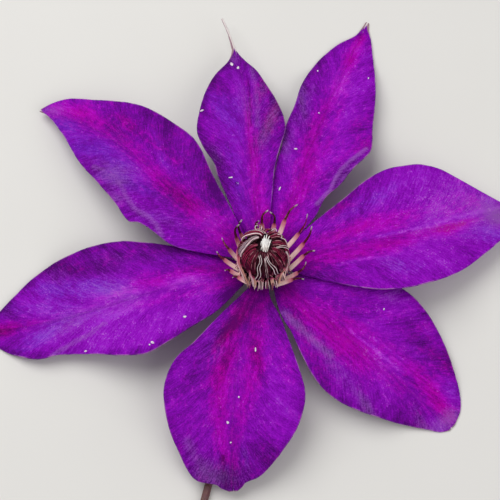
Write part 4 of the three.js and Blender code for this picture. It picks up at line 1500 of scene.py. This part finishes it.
antherMaterial = makeAntherMaterial()
filaments, threads = addOuterStamens()
outer = joinPieces(filaments + addInnerFilaments(), "filaments")
finishPiece(outer, [makeFilamentMaterial()], "filament", "stamens_outer")
outerAnthers = joinPieces(threads, "outerAnthers")
finishPiece(outerAnthers, [antherMaterial], "anther")
inner = joinPieces(addInnerStamens(), "innerAnthers")
finishPiece(inner, [antherMaterial], "anther", "stamens_inner")
coreMaterial = makeCoreMaterial()
finishPiece(addCore(), [coreMaterial], "anther")
# the disc is painted with the core's dark shade
finishPiece(addDisc(), [coreMaterial], "filament")
styles = joinPieces(addStyles(), "styleTuft")
finishPiece(styles, [makeStyleMaterial()], "style", "styles")
for unit in (filamentUnit, antherUnit, threadUnit, hairUnit):
    bpy.data.objects.remove(unit)
print("boss done")


# The receptacle, and the stalk that bends under the flower to lie on the surface. The knob is heights
# and radii from the top down. The run to the cut end swells and thins a little on its way.
stalk = {
    "knob": [(14.1, 0), (14.1, 3.4), (14, 4.2), (13.6, 4.7), (11, 4.7), (9.9, 4.2), (8.9, 3.1), (7.9, 1.7)],
    "neckRadius": 1.45,
    "neckShare": 0.35,
    "bendTop": 7.6,
    "bendOut": 0.4,
    "bendLow": 1.8,
    "bendReach": 7,
    "bendRest": 1.5,
    "radius": 0.95,
    "swells": 9,
    "swellShare": 0.04,
    "rest": 1.2,
    "azimuth": -104.4,
    "reach": 72,
    "bendSteps": 14,
    "runSteps": 46,
    "corners": 36,
    "ribs": 6,
    "ribDepth": 0.06,
}


def stalkSections():
    # centre and radius of each section, from the top of the receptacle to the cut end
    shape = stalk
    out = direction(shape["azimuth"], 0)
    sections = [(upBy(height), radius) for height, radius in shape["knob"]]
    a = upBy(shape["bendTop"])
    b = out * shape["bendOut"] + upBy(shape["bendLow"])
    c = out * shape["bendReach"] + upBy(shape["bendRest"])
    for i in range(shape["bendSteps"] + 1):
        t = i / shape["bendSteps"]
        centre = a * (1 - t)**2 + b * 2 * t * (1 - t) + c * t**2
        thinned = smoothStep(t, 0, shape["neckShare"])
        sections.append((centre, mixed(shape["neckRadius"], shape["radius"], thinned)))
    for i in range(1, shape["runSteps"] + 1):
        t = i / shape["runSteps"]
        centre = c.lerp(out * shape["reach"] + upBy(shape["rest"]), t)
        sections.append((centre, shape["radius"] * (1 + shape["swellShare"] * math.sin(shape["swells"] * t))))
    sections.append((sections[-1][0], 0))
    return sections


def addStalk():
    shape = stalk
    sections = stalkSections()
    piece = addGrid("stalk", len(sections) - 1, shape["corners"])
    side = upBy(1).cross(direction(shape["azimuth"], 0))
    for vertex in piece.data.vertices:
        i = round((vertex.co.x + 1) / 2 * (len(sections) - 1))
        angle = math.pi * (vertex.co.y + 1)
        centre, radius = sections[i]
        if i < len(shape["knob"]):
            tangent = upBy(-1)
        else:
            ahead, behind = sections[min(i + 1, len(sections) - 2)][0], sections[i - 1][0]
            tangent = (ahead - behind).normalized()
        normal = tangent.cross(side).normalized()
        radius *= 1 + shape["ribDepth"] * math.cos(shape["ribs"] * angle)
        point = centre + (side * math.cos(angle) + normal * math.sin(angle)) * radius
        vertex.co = flowerPlace @ point * mm
    closeSeams(piece, 0.005 * mm)
    bpy.ops.object.shade_smooth()
    return piece


stalkPaint = {
    "brown": paint(104, 58, 58),
    "purple": paint(84, 36, 60),
    "green": paint(112, 122, 70),
    "roughness": 0.5,
    "grainSize": 0.5,
    "blotchSize": 5.0,
}

stalkLayers = [
    ("purple", "blotch"),
    ("green", "height", 5 * mm, 10 * mm, 0, 0.8),
    ("green", "grain", 0.5, 1, 0, 0.3),
]


def makeStalkMaterial():
    material, tree, shader = newMaterial("stalk", stalkPaint["roughness"])
    grains = placeGrain(tree, stalkPaint["grainSize"], stalkPaint["blotchSize"])
    split = tree.nodes.new("ShaderNodeSeparateXYZ")
    tree.links.new(objectCoordinates(tree), split.inputs[0])
    masks = {"blotch": grains["Blotch"], "grain": grains["Grain"], "height": split.outputs["Z"]}
    colour = layPaints(tree, stalkPaint["brown"], stalkPaint, stalkLayers, masks)
    tree.links.new(colour, shader.inputs["Base Color"])
    addBump(tree, shader, grains["Grain"], 0.5, 0.15)
    return material


stem = addStalk()
finishPiece(stem, [makeStalkMaterial()], "stalk", "stem")
print("stalk done")


# Crumbs of pollen: the tepal that each lies on, its distance and its offset from the rib, its length
# and its width. The dewdrop has one size, and how high, how cut off at its foot and how lifted it is
# are shares of that.
crumbs = {
    "rows": [
        ("tepalBack", 27.6, 6.1, 1.3, 0.4), ("tepalBack", 50.8, 13.0, 1.1, 0.5),
        ("tepalBack", 66.5, 2.1, 1.3, 0.8), ("tepalBack", 64.6, 0.6, 0.9, 0.7),
        ("tepalBackRight", 38.6, 3.8, 0.9, 0.5), ("tepalBackRight", 24.3, 3.9, 1.2, 0.4),
        ("tepalBackRight", 68.6, 7.3, 0.6, 0.4), ("tepalBackRight", 71.3, -7.8, 0.6, 0.4),
        ("tepalBackRight", 53.4, 1.6, 0.5, 0.4), ("tepalFrontRight", 33.7, 13.2, 0.6, 0.4),
        ("tepalFront", 24.7, 4.1, 1.3, 0.4), ("tepalFront", 45.3, -1.2, 0.8, 0.6),
        ("tepalFront", 38.5, 1.4, 0.6, 0.4), ("tepalFront", 50.4, -0.3, 0.5, 0.4),
        ("tepalLeft", 24.8, 9.6, 0.9, 0.6), ("tepalLeft", 34.9, 14.2, 1.0, 0.7),
        ("tepalLeft", 35.8, 14.6, 0.5, 0.4), ("tepalLeft", 52.9, 11.0, 0.8, 0.5),
    ],
    "thickness": 0.35,
    "lift": 0.1,
    "lumps": 0.35,
    "lumpScale": 1.6,
    "dew": ("tepalBack", 25.5, 4.5, 1.1),
    "dewHeight": 0.8,
    "dewFoot": 0.22,
    "dewLift": 0.2,
    "seed": 43,
}


def onTepal(name, distance, offset):
    shape = tepals[name]
    side = 1 if offset > 0 else 2
    share = offset / readRows(shape["halfWidths"], distance, side)
    return tepalPoint(shape, distance, share)[0] + upBy(tepalMesh["thickness"] / 2)


def addCrumbs():
    pieces = []
    random.seed(crumbs["seed"])
    for name, distance, offset, length, width in crumbs["rows"]:
        deselectAll()
        bpy.ops.mesh.primitive_ico_sphere_add(subdivisions=3, radius=1)
        crumb = bpy.context.object
        turned = Matrix.Rotation(random.uniform(0, math.pi), 3, "Z")
        start = Vector((random.uniform(0, 50), 0, 0))
        base = onTepal(name, distance, offset) + upBy(crumbs["lift"])
        for vertex in crumb.data.vertices:
            lump = noise.noise(vertex.co * crumbs["lumpScale"] + start)
            point = vertex.co * (1 + crumbs["lumps"] * lump)
            sized = Vector((point.x * length / 2, point.y * width / 2, point.z * crumbs["thickness"] / 2))
            vertex.co = flowerPlace @ (base + turned @ sized) * mm
        pieces.append(crumb)
    return joinPieces(pieces, "pollenCrumbs")


def addDewdrop():
    name, distance, offset, size = crumbs["dew"]
    deselectAll()
    bpy.ops.mesh.primitive_uv_sphere_add(segments=32, ring_count=20, radius=size / 2)
    drop = nameActive("dewdrop")
    base = onTepal(name, distance, offset) + upBy(size * crumbs["dewLift"])
    for vertex in drop.data.vertices:
        point = vertex.co.copy()
        point.z = max(point.z * crumbs["dewHeight"], -size * crumbs["dewFoot"])
        vertex.co = flowerPlace @ (base + point) * mm
    bpy.ops.object.shade_smooth()
    return drop


crumbPaint = {
    "white": paint(250, 244, 246),
    "lilac": paint(214, 190, 214),
    "grainSize": 0.25,
    "blotchSize": 3.0,
}


def makeCrumbMaterial():
    material, tree, shader = newMaterial("pollen", 0.6)
    grain = placeGrain(tree, crumbPaint["grainSize"], crumbPaint["blotchSize"])["Grain"]
    colour = mixNode(tree, grain, crumbPaint["white"], crumbPaint["lilac"])
    tree.links.new(colour, shader.inputs["Base Color"])
    addBump(tree, shader, grain, 0.5, 0.1)
    return material


def makeDewMaterial():
    material, tree, shader = newMaterial("dew", 0.03)
    blotch = placeGroup(tree, grainGroup)["Blotch"]
    tree.links.new(rangeNode(tree, blotch, 0, 1, 0.01, 0.05), shader.inputs["Roughness"])
    shader.inputs["Transmission Weight"].default_value = 1
    shader.inputs["IOR"].default_value = 1.33
    return material


pollen = addCrumbs()
finishPiece(pollen, [makeCrumbMaterial()], "style")
dewdrop = addDewdrop()
finishPiece(dewdrop, [makeDewMaterial()], "style")
print("crumbs done")


# The floor, the soft studio light and the camera. A light is its place, its size and its power.
studio = {
    "floorSize": 3000,
    "floor": paint(226, 224, 220),
    "floorShade": paint(205, 203, 200),
    "floorMottle": 0.12,
    "floorGrain": 2.0,
    "floorBlotch": 120.0,
    "sky": 0.42,
    "lights": {
        "skyLight": ((-280, 260, 620), 700, 3.4),
        "fillLight": ((420, -360, 480), 600, 1.3),
    },
    "lightsAim": (0, 0, 10),
    "aim": (-0.62, -2.73, 13.89),
    "elevation": 68,
    "distance": 500,
    "lens": 128.57,
    "sensor": 36,
    "clipStart": 10,
}


def addFloor():
    deselectAll()
    bpy.ops.mesh.primitive_plane_add(size=studio["floorSize"] * mm)
    floor = nameActive("floor")
    material, tree, shader = newMaterial("floor", 0.7)
    blotch = placeGrain(tree, studio["floorGrain"], studio["floorBlotch"])["Blotch"]
    shade = times(tree, blotch, studio["floorMottle"])
    colour = mixNode(tree, shade, studio["floor"], studio["floorShade"])
    tree.links.new(colour, shader.inputs["Base Color"])
    floor.data.materials.append(material)


def addLights():
    world = bpy.data.worlds.new("softSky")
    bpy.context.scene.world = world
    world.use_nodes = True
    background = world.node_tree.nodes["Background"]
    background.inputs["Color"].default_value = (1, 1, 1, 1)
    background.inputs["Strength"].default_value = studio["sky"]
    target = Vector(studio["lightsAim"]) * mm
    for name, (place, size, power) in studio["lights"].items():
        bpy.ops.object.light_add(type="AREA", location=Vector(place) * mm)
        light = nameActive(name)
        light.data.shape = "DISK"
        light.data.size = size * mm
        light.data.energy = power
        light.rotation_euler = (target - light.location).to_track_quat("-Z", "Y").to_euler()


def addCamera():
    back = direction(-90, studio["elevation"])
    location = (Vector(studio["aim"]) + back * studio["distance"]) * mm
    tilt = math.radians(90 - studio["elevation"])
    bpy.ops.object.camera_add(location=location, rotation=(tilt, 0, 0))
    camera = bpy.context.object
    camera.data.sensor_width = studio["sensor"]
    camera.data.lens = studio["lens"]
    camera.data.clip_start = studio["clipStart"] * mm
    bpy.context.scene.camera = camera


addFloor()
addLights()
addCamera()
bpy.context.scene.view_settings.view_transform = "Standard"
print("studio done")
